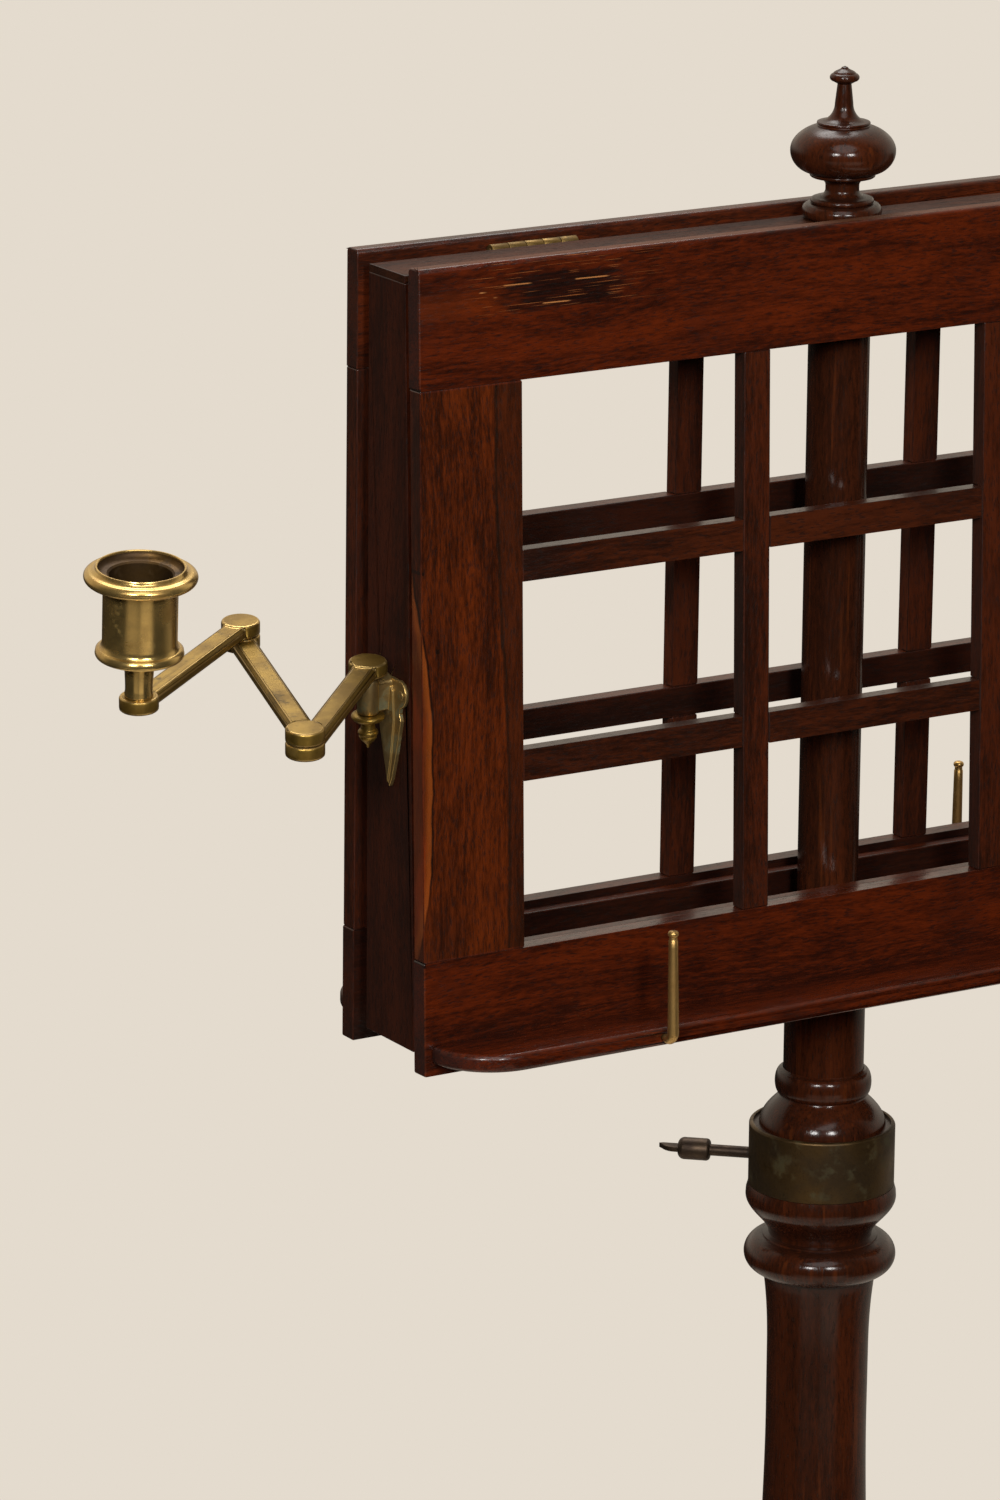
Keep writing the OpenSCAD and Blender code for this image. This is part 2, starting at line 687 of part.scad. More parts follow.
module upright_bars() {
  color(mahogany) difference() {
    for (i = [0 : 1]) translate([bar_x(i), -slope_y - (slope_t + bar_t) / 2, rail_top_z])
      cube([bar_w, bar_t, slope_h - top_rail_h - bottom_rail_h]);
    for (i = [0 : 1]) translate([-slope_w / 2, -slope_y - slope_t / 2, bar_z(i)])
      cube([slope_w, bar_t, bar_h]);
  }
}

module level_bars() {
  color(rail_wood) difference() {
    for (i = [0 : 1]) translate([-slope_w / 2 + stile_w, -slope_y - (slope_t + bar_t) / 2, bar_z(i)])
      cube([slope_w - 2 * stile_w, bar_t, bar_h]);
    for (i = [0 : 1]) translate([bar_x(i), -slope_y - slope_t / 2 - bar_t, -slope_h])
      cube([bar_w, bar_t, slope_h]);
  }
}

// The ledge's section: x is the distance out from the slope, y the height, with a rounded nose
module ledge_section(out) {
  square([out - nosing_r, ledge_t]);
  translate([0, nosing_r]) square([out, ledge_t - 2 * nosing_r]);
  for (z = [nosing_r, ledge_t - nosing_r]) translate([out - nosing_r, z]) circle(nosing_r, $fn = small_fn);
}

module ledge(lift = 0, pins = [-pin_x, pin_x]) {
  half = slope_w / 2 - ledge_inset - ledge_out;
  color(rail_wood) translate([0, 0, lift]) difference() {
    translate([0, -ledge_y, ledge_z]) {
      mirror([0, 1, 0]) along_x(-half, half) ledge_section(ledge_out);
      translate([half, 0, 0]) rotate([0, 0, -90]) rotate_extrude(angle = 90, $fn = turn_fn) ledge_section(ledge_out);
      translate([-half, 0, 0]) rotate([0, 0, 180]) rotate_extrude(angle = 90, $fn = turn_fn) ledge_section(ledge_out);
    }
    for (x = pins) translate([x, -ledge_y - ledge_out - 1, pin_z]) rotate([-90, 0, 0])
      cylinder(d = pin_foot_d + 0.1, h = pin_foot_in + 1.3, $fn = small_fn);
  }
}

// A tapered rod whose lower end bends back into the ledge; it turns on its level foot
module page_pin(x, lift = 0, extra = 0) {
  r = pin_d / 2;
  neck = r - 0.55;
  elbow_r = r - 0.3;
  bend = 4.5;
  top = pin_h + extra;
  knob = top - 5;
  color(pale_brass) translate([x, -pin_y, pin_z + lift]) {
    turned(concat([[0, bend - 0.6], [r - 0.15, bend - 0.6], [r, bend], [neck, knob - 0.8], [neck - 0.3, knob - 0.3],
      [neck - 0.3, knob + 0.4]], arc(neck - 1.2, knob + 2.6, 1.6, -60, 70, 5), [[0.6, top], [0, top]]));
    translate([0, bend, bend]) rotate([0, -90, 0]) rotate([0, 0, 180])
      rotate_extrude(angle = 90, $fn = turn_fn) translate([bend, 0]) circle(elbow_r, $fn = small_fn);
    rotate([-90, 0, 0]) translate([0, 0, bend - 0.6])
      cylinder(r1 = elbow_r + 0.15, r2 = pin_foot_d / 2 + 0.1, h = pin_reach - bend + 0.2, $fn = small_fn);
    rotate([-90, 0, 0]) translate([0, 0, pin_reach - 1])
      cylinder(d = pin_foot_d, h = pin_foot_in + 1, $fn = small_fn);
  }
}

module slope_screw_holes() {
  each_hinge() each_hinge_screw() translate([0, -hinge_gap / 2, 0]) rotate([90, 0, 0])
    cylinder(d = screw_shank_d, h = screw_shank_len, $fn = 24);
  each_stay_screw() rotate([90, 0, 0]) cylinder(d = screw_shank_d, h = screw_shank_len, $fn = 24);
}

module slope_screws() {
  color(brass) {
    each_hinge() each_hinge_screw() translate([0, -hinge_gap / 2, 0]) rotate([0, 0, 180]) leaf_screw();
    each_stay_screw() rotate([0, 0, 180]) stay_screw();
  }
}

// Stays

stay_plate_t = 0.8;

module each_stay_screw() {
  for (s = [-1, 1], k = [-1, 1])
    translate([s * stay_arm_x, -slope_y, stay_z + k * (stay_plate_h / 2 - 3)]) children();
}

module stay_screw() {
  rotate([-90, 0, 0]) translate([0, 0, -stay_plate_t])
    cylinder(d = screw_shank_d, h = screw_shank_len + stay_plate_t, $fn = 24);
}

stay_plate_h = 26;
stay_head = 6;

module stay_plates() {
  w = stay_arm_w + 2 * ear_t + 2 * stay_clear;
  color(brass) for (s = [-1, 1]) translate([s * stay_arm_x, 0, stay_z]) difference() {
    union() {
      translate([-w / 2, -slope_y, -stay_plate_h / 2]) cube([w, stay_plate_t, stay_plate_h]);
      for (e = [-w / 2, w / 2 - ear_t]) translate([e, 0, 0]) {
        translate([0, -slope_y, -stay_head / 2]) cube([ear_t, slope_y - stay_y, stay_head]);
        translate([0, -stay_y, 0]) rotate([0, 90, 0]) cylinder(d = stay_head, h = ear_t, $fn = small_fn);
      }
      translate([-w / 2, -stay_y, 0]) rotate([0, 90, 0]) cylinder(d = stay_pin_d, h = w, $fn = small_fn);
    }
    for (k = [-1, 1]) translate([0, -slope_y - 1, k * (stay_plate_h / 2 - 3)]) rotate([-90, 0, 0])
      cylinder(d = screw_shank_d, h = stay_plate_t + 2, $fn = 24);
  }
}

function stay_bar_top(drop) = rail_top_z - drop;

module stay_arms(drop) {
  foot = stay_bar_top(drop) - stay_bar_h / 2;
  head = stay_head / 2;
  plate_room = stay_plate_h / 2 + 1;
  color(mahogany) for (s = [-1, 1]) translate([s * stay_arm_x - stay_arm_w / 2, 0, 0]) difference() {
    union() {
      translate([0, -stay_y, stay_z]) rotate([0, 90, 0]) cylinder(r = head - 0.3, h = stay_arm_w, $fn = small_fn);
      translate([0, -stay_y - stay_t / 2 + 1.1, stay_z - plate_room]) cube([stay_arm_w, stay_t / 2 + head - 1.4, plate_room]);
      translate([0, -stay_y - stay_t / 2, foot]) cube([stay_arm_w, stay_t, stay_z - plate_room - foot]);
    }
    translate([-1, -stay_y, stay_z]) rotate([0, 90, 0])
      cylinder(d = stay_pin_d + 0.1, h = stay_arm_w + 2, $fn = small_fn);
    translate([-1, -stay_y, foot - 1]) cube([stay_arm_w + 2, stay_t, stay_bar_h / 2 + 1]);
  }
}

module stay_bar(drop) {
  half = inner_half - 1.7;
  top = stay_bar_top(drop);
  color(rail_wood) difference() {
    translate([-half, -stay_y - stay_t / 2, top - stay_bar_h]) cube([2 * half, stay_t, stay_bar_h]);
    for (s = [-1, 1]) translate([s * stay_arm_x - stay_arm_w / 2, -stay_y - stay_t, top - stay_bar_h / 2])
      cube([stay_arm_w, stay_t, stay_bar_h]);
  }
}

// Candle arms, drawn for the left end with the inner link's top at z = 0

plate_t = 2.2;

module at_arm(side) {
  mirror([side > 0 ? 1 : 0, 0, 0]) at_desk() translate([-frame_half - spindle_out, -bracket_y, -arm_drop])
    rotate([lean_forward, -lean_out, 0]) children();
}

module at_elbow() {
  rotate([0, 0, rest_1]) translate([link_1, 0, 0]) rotate([0, 0, -rest_1]) children();
}

module at_wrist() {
  at_elbow() rotate([0, 0, rest_2]) translate([link_2, 0, 0]) rotate([0, 0, -rest_2]) children();
}

module at_socket() {
  at_wrist() rotate([0, 0, rest_3]) translate([link_3, 0, 0]) rotate([0, 0, -rest_3]) children();
}

module eye() {
  r = eye_d / 2;
  turned([[0, 0], [r - 0.6, 0], [r, 0.6], [r, link_t - 1.2], [r - 0.5, link_t], [0, link_t]]);
}

// A link lies along +X from the origin, with its underside at z = 0
module link(length) {
  w = link_w / 2;
  top = link_t - 0.6;
  bevel = 1.8;
  eye();
  translate([length, 0, 0]) eye();
  along_x(2, length - 2) polygon([[-w + 0.8, 0.5], [w - 0.8, 0.5], [w, 1.3], [w, top - bevel],
    [w - bevel, top], [-w + bevel, top], [-w, top - bevel], [-w, 1.3]]);
}

pivot_h = 5;

module pivot_hole() {
  translate([0, 0, -eps]) cylinder(d = pivot_d + 0.1, h = pivot_h + 0.4, $fn = small_fn);
}

module arm_inner() {
  color(brass) {
    translate([0, 0, -link_t]) rotate([0, 0, rest_1]) link(link_1);
    at_elbow() translate([0, 0, -eps]) cylinder(d = pivot_d, h = link_gap + pivot_h, $fn = small_fn);
    translate([0, 0, barrel_top - barrel_len - 1]) cylinder(d = spindle_d, h = barrel_len + 1 - link_t - barrel_top + eps, $fn = small_fn);
    translate([0, 0, barrel_top + 0.2]) cylinder(d = spindle_d + 3, h = -link_t - barrel_top - 0.2 + eps, $fn = small_fn);
  }
}

module arm_middle() {
  color(brass) at_elbow() translate([0, 0, link_gap]) {
    difference() {
      rotate([0, 0, rest_2]) link(link_2);
      pivot_hole();
    }
    rotate([0, 0, rest_2]) translate([link_2, 0, link_t - eps])
      cylinder(d = pivot_d, h = link_gap + pivot_h, $fn = small_fn);
  }
}

module arm_outer() {
  color(brass) at_wrist() translate([0, 0, link_gap + level]) difference() {
    rotate([0, 0, rest_3]) link(link_3);
    pivot_hole();
    rotate([0, 0, rest_3]) translate([link_3, 0, link_t - 4]) cylinder(d = pivot_d + 0.1, h = 5, $fn = small_fn);
  }
}

module candle_socket() {
  rb = socket_d / 2;
  rf = flange_d / 2;
  rr = rim_d / 2;
  lip = rb + 2.4;
  rc = candle_d / 2;
  top = stem_h + 45.6;
  stem_r = 6.9;
  color(brass) at_socket() translate([0, 0, 2 * level + 0.15]) rotate(socket_lean) {
    turned(concat(
      [[0, 0], [stem_r, 0], [stem_r, 1]], sweep(stem_r - 0.3, 3, stem_r + 0.2, stem_h - 3, 4),
      [[stem_r + 1.4, stem_h - 0.6], [rf - 3, stem_h]],
      arc(rf - 1.8, stem_h + 1.8, 1.8, -80, 20, 6), [[rf - 0.3, stem_h + 3.7], [rf - 1, stem_h + 4.4]],
      level_up(rf - 1.6, stem_h + 4.7, rb, stem_h + 8.2, 1, 5),
      up_level(rb, top - 9.8, rr - 1.9, top - 8.5, 1, 5),
      arc(rr - 1.9, top - 6.6, 1.9, -60, 60, 4), [[rr - 2.2, top - 4.4]],
      level_up(rr - 2.7, top - 4.2, lip + 0.1, top - 0.8, 1, 5), [[lip - 0.2, top], [lip - 0.9, top], [lip - 1.2, top - 0.5]],
      [[rc + 3.2, top - 1.7], [rc + 1.2, top - 2.9], [rc, top - 4.5], [rc, top - 5 - candle_depth], [0, top - 5 - candle_depth]]));
    translate([0, 0, -3.6]) cylinder(d = pivot_d - 0.2, h = 3.6 + eps, $fn = small_fn);
  }
}

module arm_drop() {
  z = barrel_top - barrel_len;
  color(brass) difference() {
    turned(concat([[0, z - 18.8], [0.7, z - 18.3]], sweep(0.9, z - 17.8, 4.4, z - 12.4, 5), arc(3.4, z - 10.4, 1.6, -70, 70, 6),
      sweep(3.6, z - 8.4, 3.3, z - 5.8, 4), sweep(3.4, z - 5.2, 7.4, z - 3.4, 4),
      arc(eye_d / 2 - 2.5, z - 2, 1.3, -80, 80, 6), [[6, z - 0.4], [0, z - 0.4]]));
    translate([0, 0, z - 1 - eps]) cylinder(d = spindle_d, h = 2, $fn = small_fn);
  }
}

module bracket() {
  lobe = 7;
  barrel_r = 5.4;
  z_screw = bracket_screw_z;
  color(brass) difference() {
    union() {
      at_desk() translate([-frame_half - plate_t, -bracket_y, z_screw]) along_x(0, plate_t) {
        for (s = [-1, 1]) translate([s * 8.4, 0]) circle(lobe, $fn = small_fn);
        polygon([[0, 7.2], [-9, 6.6], [-12, 0], [-9.4, -9.6], [-10.8, -13.2], [-8.6, -22], [-5.4, -34], [-2.2, -44],
          [0, -48.4], [2.2, -44], [5.4, -34], [8.6, -22], [10.8, -13.2], [9.4, -9.6], [12, 0], [9, 6.6]]);
      }
      at_desk() translate([-frame_half - plate_t - 1.2, -bracket_y, z_screw]) along_x(0, 1.3)
        polygon([[0, 6.4], [-4.4, 1], [-5.4, -14], [-2.6, -34], [0, -46], [2.6, -34], [5.4, -14], [4.4, 1]]);
      at_arm(-1) {
        translate([0, 0, barrel_top - barrel_len])
          turned([[0, 0], [barrel_r, 0], [barrel_r, barrel_len - 2.4], [barrel_r - 1.3, barrel_len], [0, barrel_len]]);
        translate([0, -4.2, barrel_top - barrel_len + 1]) cube([spindle_out - 3, 8.4, barrel_len - 5]);
        intersection() {
          translate([0, 0, barrel_top - 4.2]) rotate([0, 90, 0]) cylinder(r = 4.2, h = spindle_out - 3, $fn = small_fn);
          translate([0, -6, barrel_top - 4.3]) cube([spindle_out, 12, 8]);
        }
      }
    }
    at_arm(-1) translate([0, 0, barrel_top - barrel_len - 1])
      cylinder(d = spindle_d + 2 * spindle_fit, h = barrel_len + 2, $fn = small_fn);
    at_desk() bracket_plate_holes(-1);
  }
}

module bracket_plate_holes(side) {
  for (s = [-1, 1])
    translate([side * (frame_half - 1), -bracket_y + s * bracket_screw_y, bracket_screw_z])
      rotate([0, 90 * side, 0]) cylinder(d = screw_shank_d, h = plate_t + 2, $fn = 24);
}

column();
leg();  // leg_1
rotate([0, 0, 120]) leg();  // leg_2
rotate([0, 0, 240]) leg();  // leg_3
foot_pads();
base_plate();
base_drop();
collar();
thumb_screw();
pole();
end_board(-1);  // end_board_left
end_board(1);  // end_board_right
top_board();
bottom_board();
finial();
racks();
frame_hinge_leaves();
hinge_pins();
frame_screws();
bracket();  // bracket_left
mirror([1, 0, 0]) bracket();  // bracket_right
on_slope(side_front, front_open) top_rail();  // front_top_rail
on_slope(side_front, front_open) bottom_rail();  // front_bottom_rail
on_slope(side_front, front_open) stile(-1);  // front_stile_left
on_slope(side_front, front_open) stile(1);  // front_stile_right
on_slope(side_front, front_open) upright_bars();  // front_upright_bars
on_slope(side_front, front_open) level_bars();  // front_level_bars
on_slope(side_front, front_open) ledge();  // front_ledge
on_slope(side_front, front_open) slope_hinge_leaves();  // front_hinge_leaves
on_slope(side_front, front_open) stay_plates();  // front_stay_plates
on_slope(side_front, front_open) slope_screws();  // front_slope_screws
on_slope(side_back, back_open) top_rail();  // back_top_rail
on_slope(side_back, back_open) bottom_rail();  // back_bottom_rail
on_slope(side_back, back_open) stile(1);  // back_stile_left
on_slope(side_back, back_open) stile(-1);  // back_stile_right
on_slope(side_back, back_open) upright_bars();  // back_upright_bars
on_slope(side_back, back_open) level_bars();  // back_level_bars
on_slope(side_back, back_open) ledge(back_ledge_lift, [-back_pin_x, pin_x]);  // back_ledge
on_slope(side_back, back_open) slope_hinge_leaves();  // back_hinge_leaves
on_slope(side_back, back_open) stay_plates();  // back_stay_plates
on_slope(side_back, back_open) slope_screws();  // back_slope_screws
on_slope(side_front, front_open) stay_arms(front_stay_drop);  // front_stay_arms
on_slope(side_front, front_open) stay_bar(front_stay_drop);  // front_stay_bar
on_slope(side_back, back_open) stay_arms(back_stay_drop);  // back_stay_arms
on_slope(side_back, back_open) stay_bar(back_stay_drop);  // back_stay_bar
on_slope(side_front, front_open) page_pin(-pin_x);  // front_pin_left
on_slope(side_front, front_open) page_pin(pin_x);  // front_pin_right
on_slope(side_back, back_open) page_pin(pin_x, back_ledge_lift, back_pin_extra);  // back_pin_left
on_slope(side_back, back_open) page_pin(-back_pin_x, back_ledge_lift, back_pin_extra);  // back_pin_right
at_arm(-1) arm_inner();  // arm_inner_left
at_arm(-1) arm_middle();  // arm_middle_left
at_arm(-1) arm_outer();  // arm_outer_left
at_arm(-1) candle_socket();  // candle_socket_left
at_arm(1) arm_inner();  // arm_inner_right
at_arm(1) arm_middle();  // arm_middle_right
at_arm(1) arm_outer();  // arm_outer_right
at_arm(1) candle_socket();  // candle_socket_right
at_arm(-1) arm_drop();  // arm_drop_left
at_arm(1) arm_drop();  // arm_drop_right
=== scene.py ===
# %% [markdown]
# A duet music stand: two reading slopes hang back to back from a narrow centre frame on a telescoping
# pole, with a folding brass candle arm at each end. The packed CAD model is loaded first, as a fixed
# frame in metres. Everything made below is placed in that frame, so each piece goes where the CAD says.

import bpy
import numpy as np
from mathutils import Matrix


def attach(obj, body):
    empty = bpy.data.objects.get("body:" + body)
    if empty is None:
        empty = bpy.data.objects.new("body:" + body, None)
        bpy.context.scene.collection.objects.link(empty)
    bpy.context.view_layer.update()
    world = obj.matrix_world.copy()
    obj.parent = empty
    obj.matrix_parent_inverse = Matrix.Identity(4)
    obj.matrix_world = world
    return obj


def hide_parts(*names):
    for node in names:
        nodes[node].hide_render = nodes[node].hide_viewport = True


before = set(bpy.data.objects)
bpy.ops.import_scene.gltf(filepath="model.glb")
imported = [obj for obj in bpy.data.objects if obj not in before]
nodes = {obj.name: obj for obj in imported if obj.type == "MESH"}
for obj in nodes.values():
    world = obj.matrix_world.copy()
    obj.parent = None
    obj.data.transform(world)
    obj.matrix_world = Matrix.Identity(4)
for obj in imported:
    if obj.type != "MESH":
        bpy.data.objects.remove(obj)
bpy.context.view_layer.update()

# %% [markdown]
# The camera stands in front and to the left, a little above the slopes, and its long lens keeps the
# uprights almost parallel. Its three directions are worked out from two angles and a slight roll. Three
# Euler angles would turn it too, but the room needs the same vectors, to know where the camera stands.

# %% Camera
CAMERA_PLACE = (-1.96208, -2.88436, 1.84391)
LENS, SENSOR = 170.78, 36.0

azimuth, elevation, roll = np.radians([-31.47, 15.41, 0.50])
back = np.array([np.sin(azimuth) * np.cos(elevation), -np.cos(azimuth) * np.cos(elevation),
                 np.sin(elevation)])
level_right = np.array([np.cos(azimuth), np.sin(azimuth), 0.0])
level_up = np.cross(back, level_right)
right = np.cos(roll) * level_right + np.sin(roll) * level_up
up = -np.sin(roll) * level_right + np.cos(roll) * level_up

camera_data = bpy.data.cameras.new("camera")
camera_data.sensor_width, camera_data.lens, camera_data.clip_end = SENSOR, LENS, 50.0
camera = bpy.data.objects.new("camera", camera_data)
turn = np.eye(4)
turn[:3, 0], turn[:3, 1], turn[:3, 2], turn[:3, 3] = right, up, back, CAMERA_PLACE
camera.matrix_world = Matrix(turn.tolist())
bpy.context.scene.collection.objects.link(camera)
bpy.context.scene.camera = camera
bpy.context.scene.view_settings.view_transform = "Standard"
print("camera looks along", np.round(-back, 3).tolist())

# %% [markdown]
# Shader maths reads best as arithmetic. `Value` wraps one output socket, and an expression such as
# `1 - mask * 0.5` adds the Math nodes it needs. Written out by hand, each sum would take three lines.

# %% Sums on sockets
class Value:
    """One output socket of a node in a recipe, which can be used in sums and products."""

    def __init__(self, recipe, socket):
        self.recipe, self.socket = recipe, socket

    def _sum(self, operation, first, second):
        return self.recipe.add("ShaderNodeMath", {"operation": operation}, {0: first, 1: second})

    def __add__(self, other):
        return self._sum("ADD", self, other)

    def __sub__(self, other):
        return self._sum("SUBTRACT", self, other)

    def __rsub__(self, other):
        return self._sum("SUBTRACT", other, self)

    def __mul__(self, other):
        return self._sum("MULTIPLY", self, other)

    def __pow__(self, other):
        return self._sum("POWER", self, other)

    def least(self, other):
        return self._sum("MINIMUM", self, other)

    def most(self, other):
        return self._sum("MAXIMUM", self, other)

    def size(self):
        return self._sum("ABSOLUTE", self, 0.0)

    def between(self, low, high):
        """0 below low, 1 above high, and a smooth step from one to the other."""
        return self.recipe.add("ShaderNodeMapRange", {"interpolation_type": "SMOOTHSTEP"},
                               {"Value": self, "From Min": low, "From Max": high})

    __radd__, __rmul__ = __add__, __mul__


print("a Value can do:", [name for name in vars(Value) if not name.startswith("_")])

# %% [markdown]
# `Recipe` is a node tree being filled. `add` makes any node: its settings are set first, then each input
# gets a number, a colour or a link. The other methods are short names for the nodes used most, and `shade`
# turns a given colour into the linear light that the nodes calculate with.

# %% Recipes
class Recipe:
    """A node tree being filled. Every node comes from `add`."""

    def __init__(self, tree):
        self.tree = tree
        tree.nodes.clear()

    def add(self, kind, settings=None, inputs=None, out=0):
        """Makes one node and returns the output that `out` names, or None where it has none."""
        node = self.tree.nodes.new(kind)
        for key, setting in (settings or {}).items():
            setattr(node, key, setting)
        for key, given in (inputs or {}).items():
            if isinstance(given, Value):
                self.tree.links.new(given.socket, node.inputs[key])
            else:
                node.inputs[key].default_value = given
        return Value(self, node.outputs[out]) if len(node.outputs) else None

    def object_place(self, out="Object"):
        """The point being shaded in the piece's own frame, or another output of the same node."""
        return self.add("ShaderNodeTexCoord", out=out)

    def stretched(self, place, scale, shift=(0, 0, 0)):
        """A place scaled and then shifted, which squeezes the noise that reads it."""
        return self.add("ShaderNodeMapping", None, {"Vector": place, "Scale": scale, "Location": shift})

    def cloud(self, place, scale=1.0, detail=2.0, rough=0.5):
        """Soft noise, mostly between 0.3 and 0.7."""
        return self.add("ShaderNodeTexNoise", None,
                        {"Vector": place, "Scale": scale, "Detail": detail, "Roughness": rough})

    def blend(self, mask, below, above):
        """The colour below where mask is 0, above where it is 1."""
        return self.add("ShaderNodeMix", {"data_type": "RGBA"}, {0: mask, 6: below, 7: above}, out=2)

    def parts(self, vector):
        """The three numbers of a vector."""
        node = self.add("ShaderNodeSeparateXYZ", None, {0: vector}).socket.node
        return [Value(self, socket) for socket in node.outputs]


def shade(red, green, blue):
    """A colour as a screen shows it, 0 to 255, turned into the linear light that shaders use."""
    c = np.array([red, green, blue]) / 255
    return (*np.where(c <= 0.04045, c / 12.92, ((c + 0.055) / 1.055) ** 2.4).tolist(), 1.0)


print("mid brown in linear light:", np.round(shade(69, 25, 10), 4).tolist())

# %% [markdown]
# The room is a pale one. The camera sees an even cream backdrop. What the polish mirrors is the same
# cream behind the stand and at its sides, and a dim room on the side where the camera stands, which
# is why the front faces stay deep red and the top faces turn pale. Two bright patches low in front
# stand for sunlit floor: the candle cups lean forward, so their barrels mirror them.

# %% Room
# Each floor patch: its direction in degrees round the stand, and its brightness.
FLOOR_PATCHES = ((-54.0, 0.54), (-9.0, 0.95))
DIM, FULL = 0.03, 0.88

room = bpy.data.worlds.new("room")
room.use_nodes = True
bpy.context.scene.world = room
r = Recipe(room.node_tree)
cream, plaster = shade(228, 219, 206), shade(226, 214, 196)
direction = r.object_place("Generated")
ahead = r.add("ShaderNodeVectorMath", {"operation": "DOT_PRODUCT"},
              {0: direction, 1: (-back[0], -back[1], 0.0)}, out="Value")
path = r.add("ShaderNodeLightPath").socket.node
seen, mirrored = Value(r, path.outputs["Is Camera Ray"]), Value(r, path.outputs["Is Glossy Ray"])
through = Value(r, path.outputs["Is Transmission Ray"])
across, _, height = r.parts(direction)
lit = ahead.between(-0.25, 0.45) * (FULL - DIM) + DIM
low = DIM + across.between(0.2, 0.9) * 0.37
gloss = lit * (low + (1 - low) * height.between(-0.22, 0.16))
level = (1 - height * height) ** -0.5
low_band = height.between(-0.75, -0.52) * (1 - height.between(-0.42, -0.32))
for turn_angle, brightness in FLOOR_PATCHES:
    a = np.radians(turn_angle)
    toward = r.add("ShaderNodeVectorMath", {"operation": "DOT_PRODUCT"},
                   {0: direction, 1: (np.sin(a), -np.cos(a), 0.0)}, out="Value") * level
    gloss = gloss + toward.between(0.90, 0.98) * low_band * brightness
shown = seen.most(through)
strength = shown + (1 - shown) * (mirrored * gloss + (1 - mirrored) * lit * 0.45)
sky = r.add("ShaderNodeBackground", None, {"Color": r.blend(seen, plaster, cream), "Strength": strength})
r.add("ShaderNodeOutputWorld", None, {"Surface": sky})
print("room nodes:", len(room.node_tree.nodes))

# %% [markdown]
# Two soft lamps hang in front, above head height and about a tenth of a turn apart: the round brass and
# the turned pole each show both as thin upright highlights. A broad dim panel higher up fills between
# them, and another lights the back slope from behind. All are area lamps: such a lamp has a size, so its
# reflection has one too, where a point lamp would leave only a spark.

# %% Lamps
WARM_WHITE = (1.0, 0.985, 0.96)
SLOPES_MIDDLE = np.array([0, 0, 0.95])


def lamp(name, turn_angle, height_angle, reach, width, watts):
    """A round area lamp that faces the middle of the slopes from `reach` metres away. Its place is a
    point on a sphere, given by the angle round the stand and the angle above the floor."""
    a, e = np.radians([turn_angle, height_angle])
    away = np.array([np.sin(a) * np.cos(e), -np.cos(a) * np.cos(e), np.sin(e)])
    side = np.cross([0, 0, 1], away)
    side = side / np.linalg.norm(side)
    place = np.eye(4)
    place[:3, 0], place[:3, 1], place[:3, 2] = side, np.cross(away, side), away
    place[:3, 3] = SLOPES_MIDDLE + reach * away
    data = bpy.data.lights.new(name, "AREA")
    data.shape, data.size, data.energy, data.color = "DISK", width, watts, WARM_WHITE
    made = bpy.data.objects.new(name, data)
    made.matrix_world = Matrix(place.tolist())
    bpy.context.scene.collection.objects.link(made)


lamp("left_lamp", turn_angle=-49.0, height_angle=23.0, reach=3.2, width=0.62, watts=44.0)
lamp("right_lamp", turn_angle=-15.6, height_angle=23.0, reach=3.2, width=0.62, watts=44.0)
lamp("high_panel", turn_angle=-30.0, height_angle=55.0, reach=3.0, width=2.2, watts=26.0)
lamp("rear_panel", turn_angle=158.0, height_angle=60.0, reach=3.2, width=1.8, watts=56.0)

# %% [markdown]
# The floor is a plain pale disc that fades out at its rim, so the stand's soft shadow lies on it and the
# backdrop carries on behind.

# %% Floor
FLOOR_RADIUS = 1.12


def disc_points(radius, rings=12, around=96):
    """A flat disc: distance from the middle and angle are the two parameters, and a point is at
    (distance * cos angle, distance * sin angle, 0)."""
    reach = np.linspace(0, radius, rings + 1)[1:, None]
    angle = np.linspace(0, 2 * np.pi, around, endpoint=False)[None, :]
    return np.stack([reach * np.cos(angle), reach * np.sin(angle), np.zeros((rings, around))], -1)


floor_rings = disc_points(FLOOR_RADIUS)
count, around = floor_rings.shape[:2]
i, j = np.arange(count - 1)[:, None] * around, np.arange(around)[None, :]
k = (j + 1) % around
quads = np.stack([i + j, i + around + j, i + around + k, i + k], -1).reshape(-1, 4)
mesh = bpy.data.meshes.new("floor")
mesh.from_pydata(floor_rings.reshape(-1, 3).tolist(), [], quads.tolist() + [list(range(around))])
floor = bpy.data.objects.new("floor", mesh)
bpy.context.scene.collection.objects.link(floor)

paint = bpy.data.materials.new("pale_floor")
paint.use_nodes = True
r = Recipe(paint.node_tree)
place = r.object_place()
from_middle = r.add("ShaderNodeVectorMath", {"operation": "LENGTH"}, {0: place}, out="Value")
far = from_middle.between(0.62, FLOOR_RADIUS - 0.02)
mottle = r.cloud(place, 6.0, 4.0)
colour = r.blend(mottle.between(0.35, 0.65), shade(222, 212, 198), shade(226, 216, 203))
boards = r.add("ShaderNodeBsdfDiffuse", None, {"Color": colour})
clear = r.add("ShaderNodeBsdfTransparent")
r.add("ShaderNodeOutputMaterial", None,
      {"Surface": r.add("ShaderNodeMixShader", None, {0: far, 1: boards, 2: clear})})
floor.data.materials.append(paint)
print("floor rings:", count)

# %% [markdown]
# Mahogany. Its grain is three things at once: broad darker bands, fine fibres that run for
# centimetres, and open pores that show as short dark dashes. Each is a noise stretched along the
# grain, bent a little by a slow one, so no line is quite straight. End faces are darker and matt. A
# picture of wood would have to be unwrapped onto every board, and it would repeat. Noise is solid: it
# runs through a board from face to end, as grain does.

# %% Wood recipe
# The grain's own axis first, then the two across it.
GRAIN = {"X": (0, 1, 2), "Z": (2, 0, 1)}


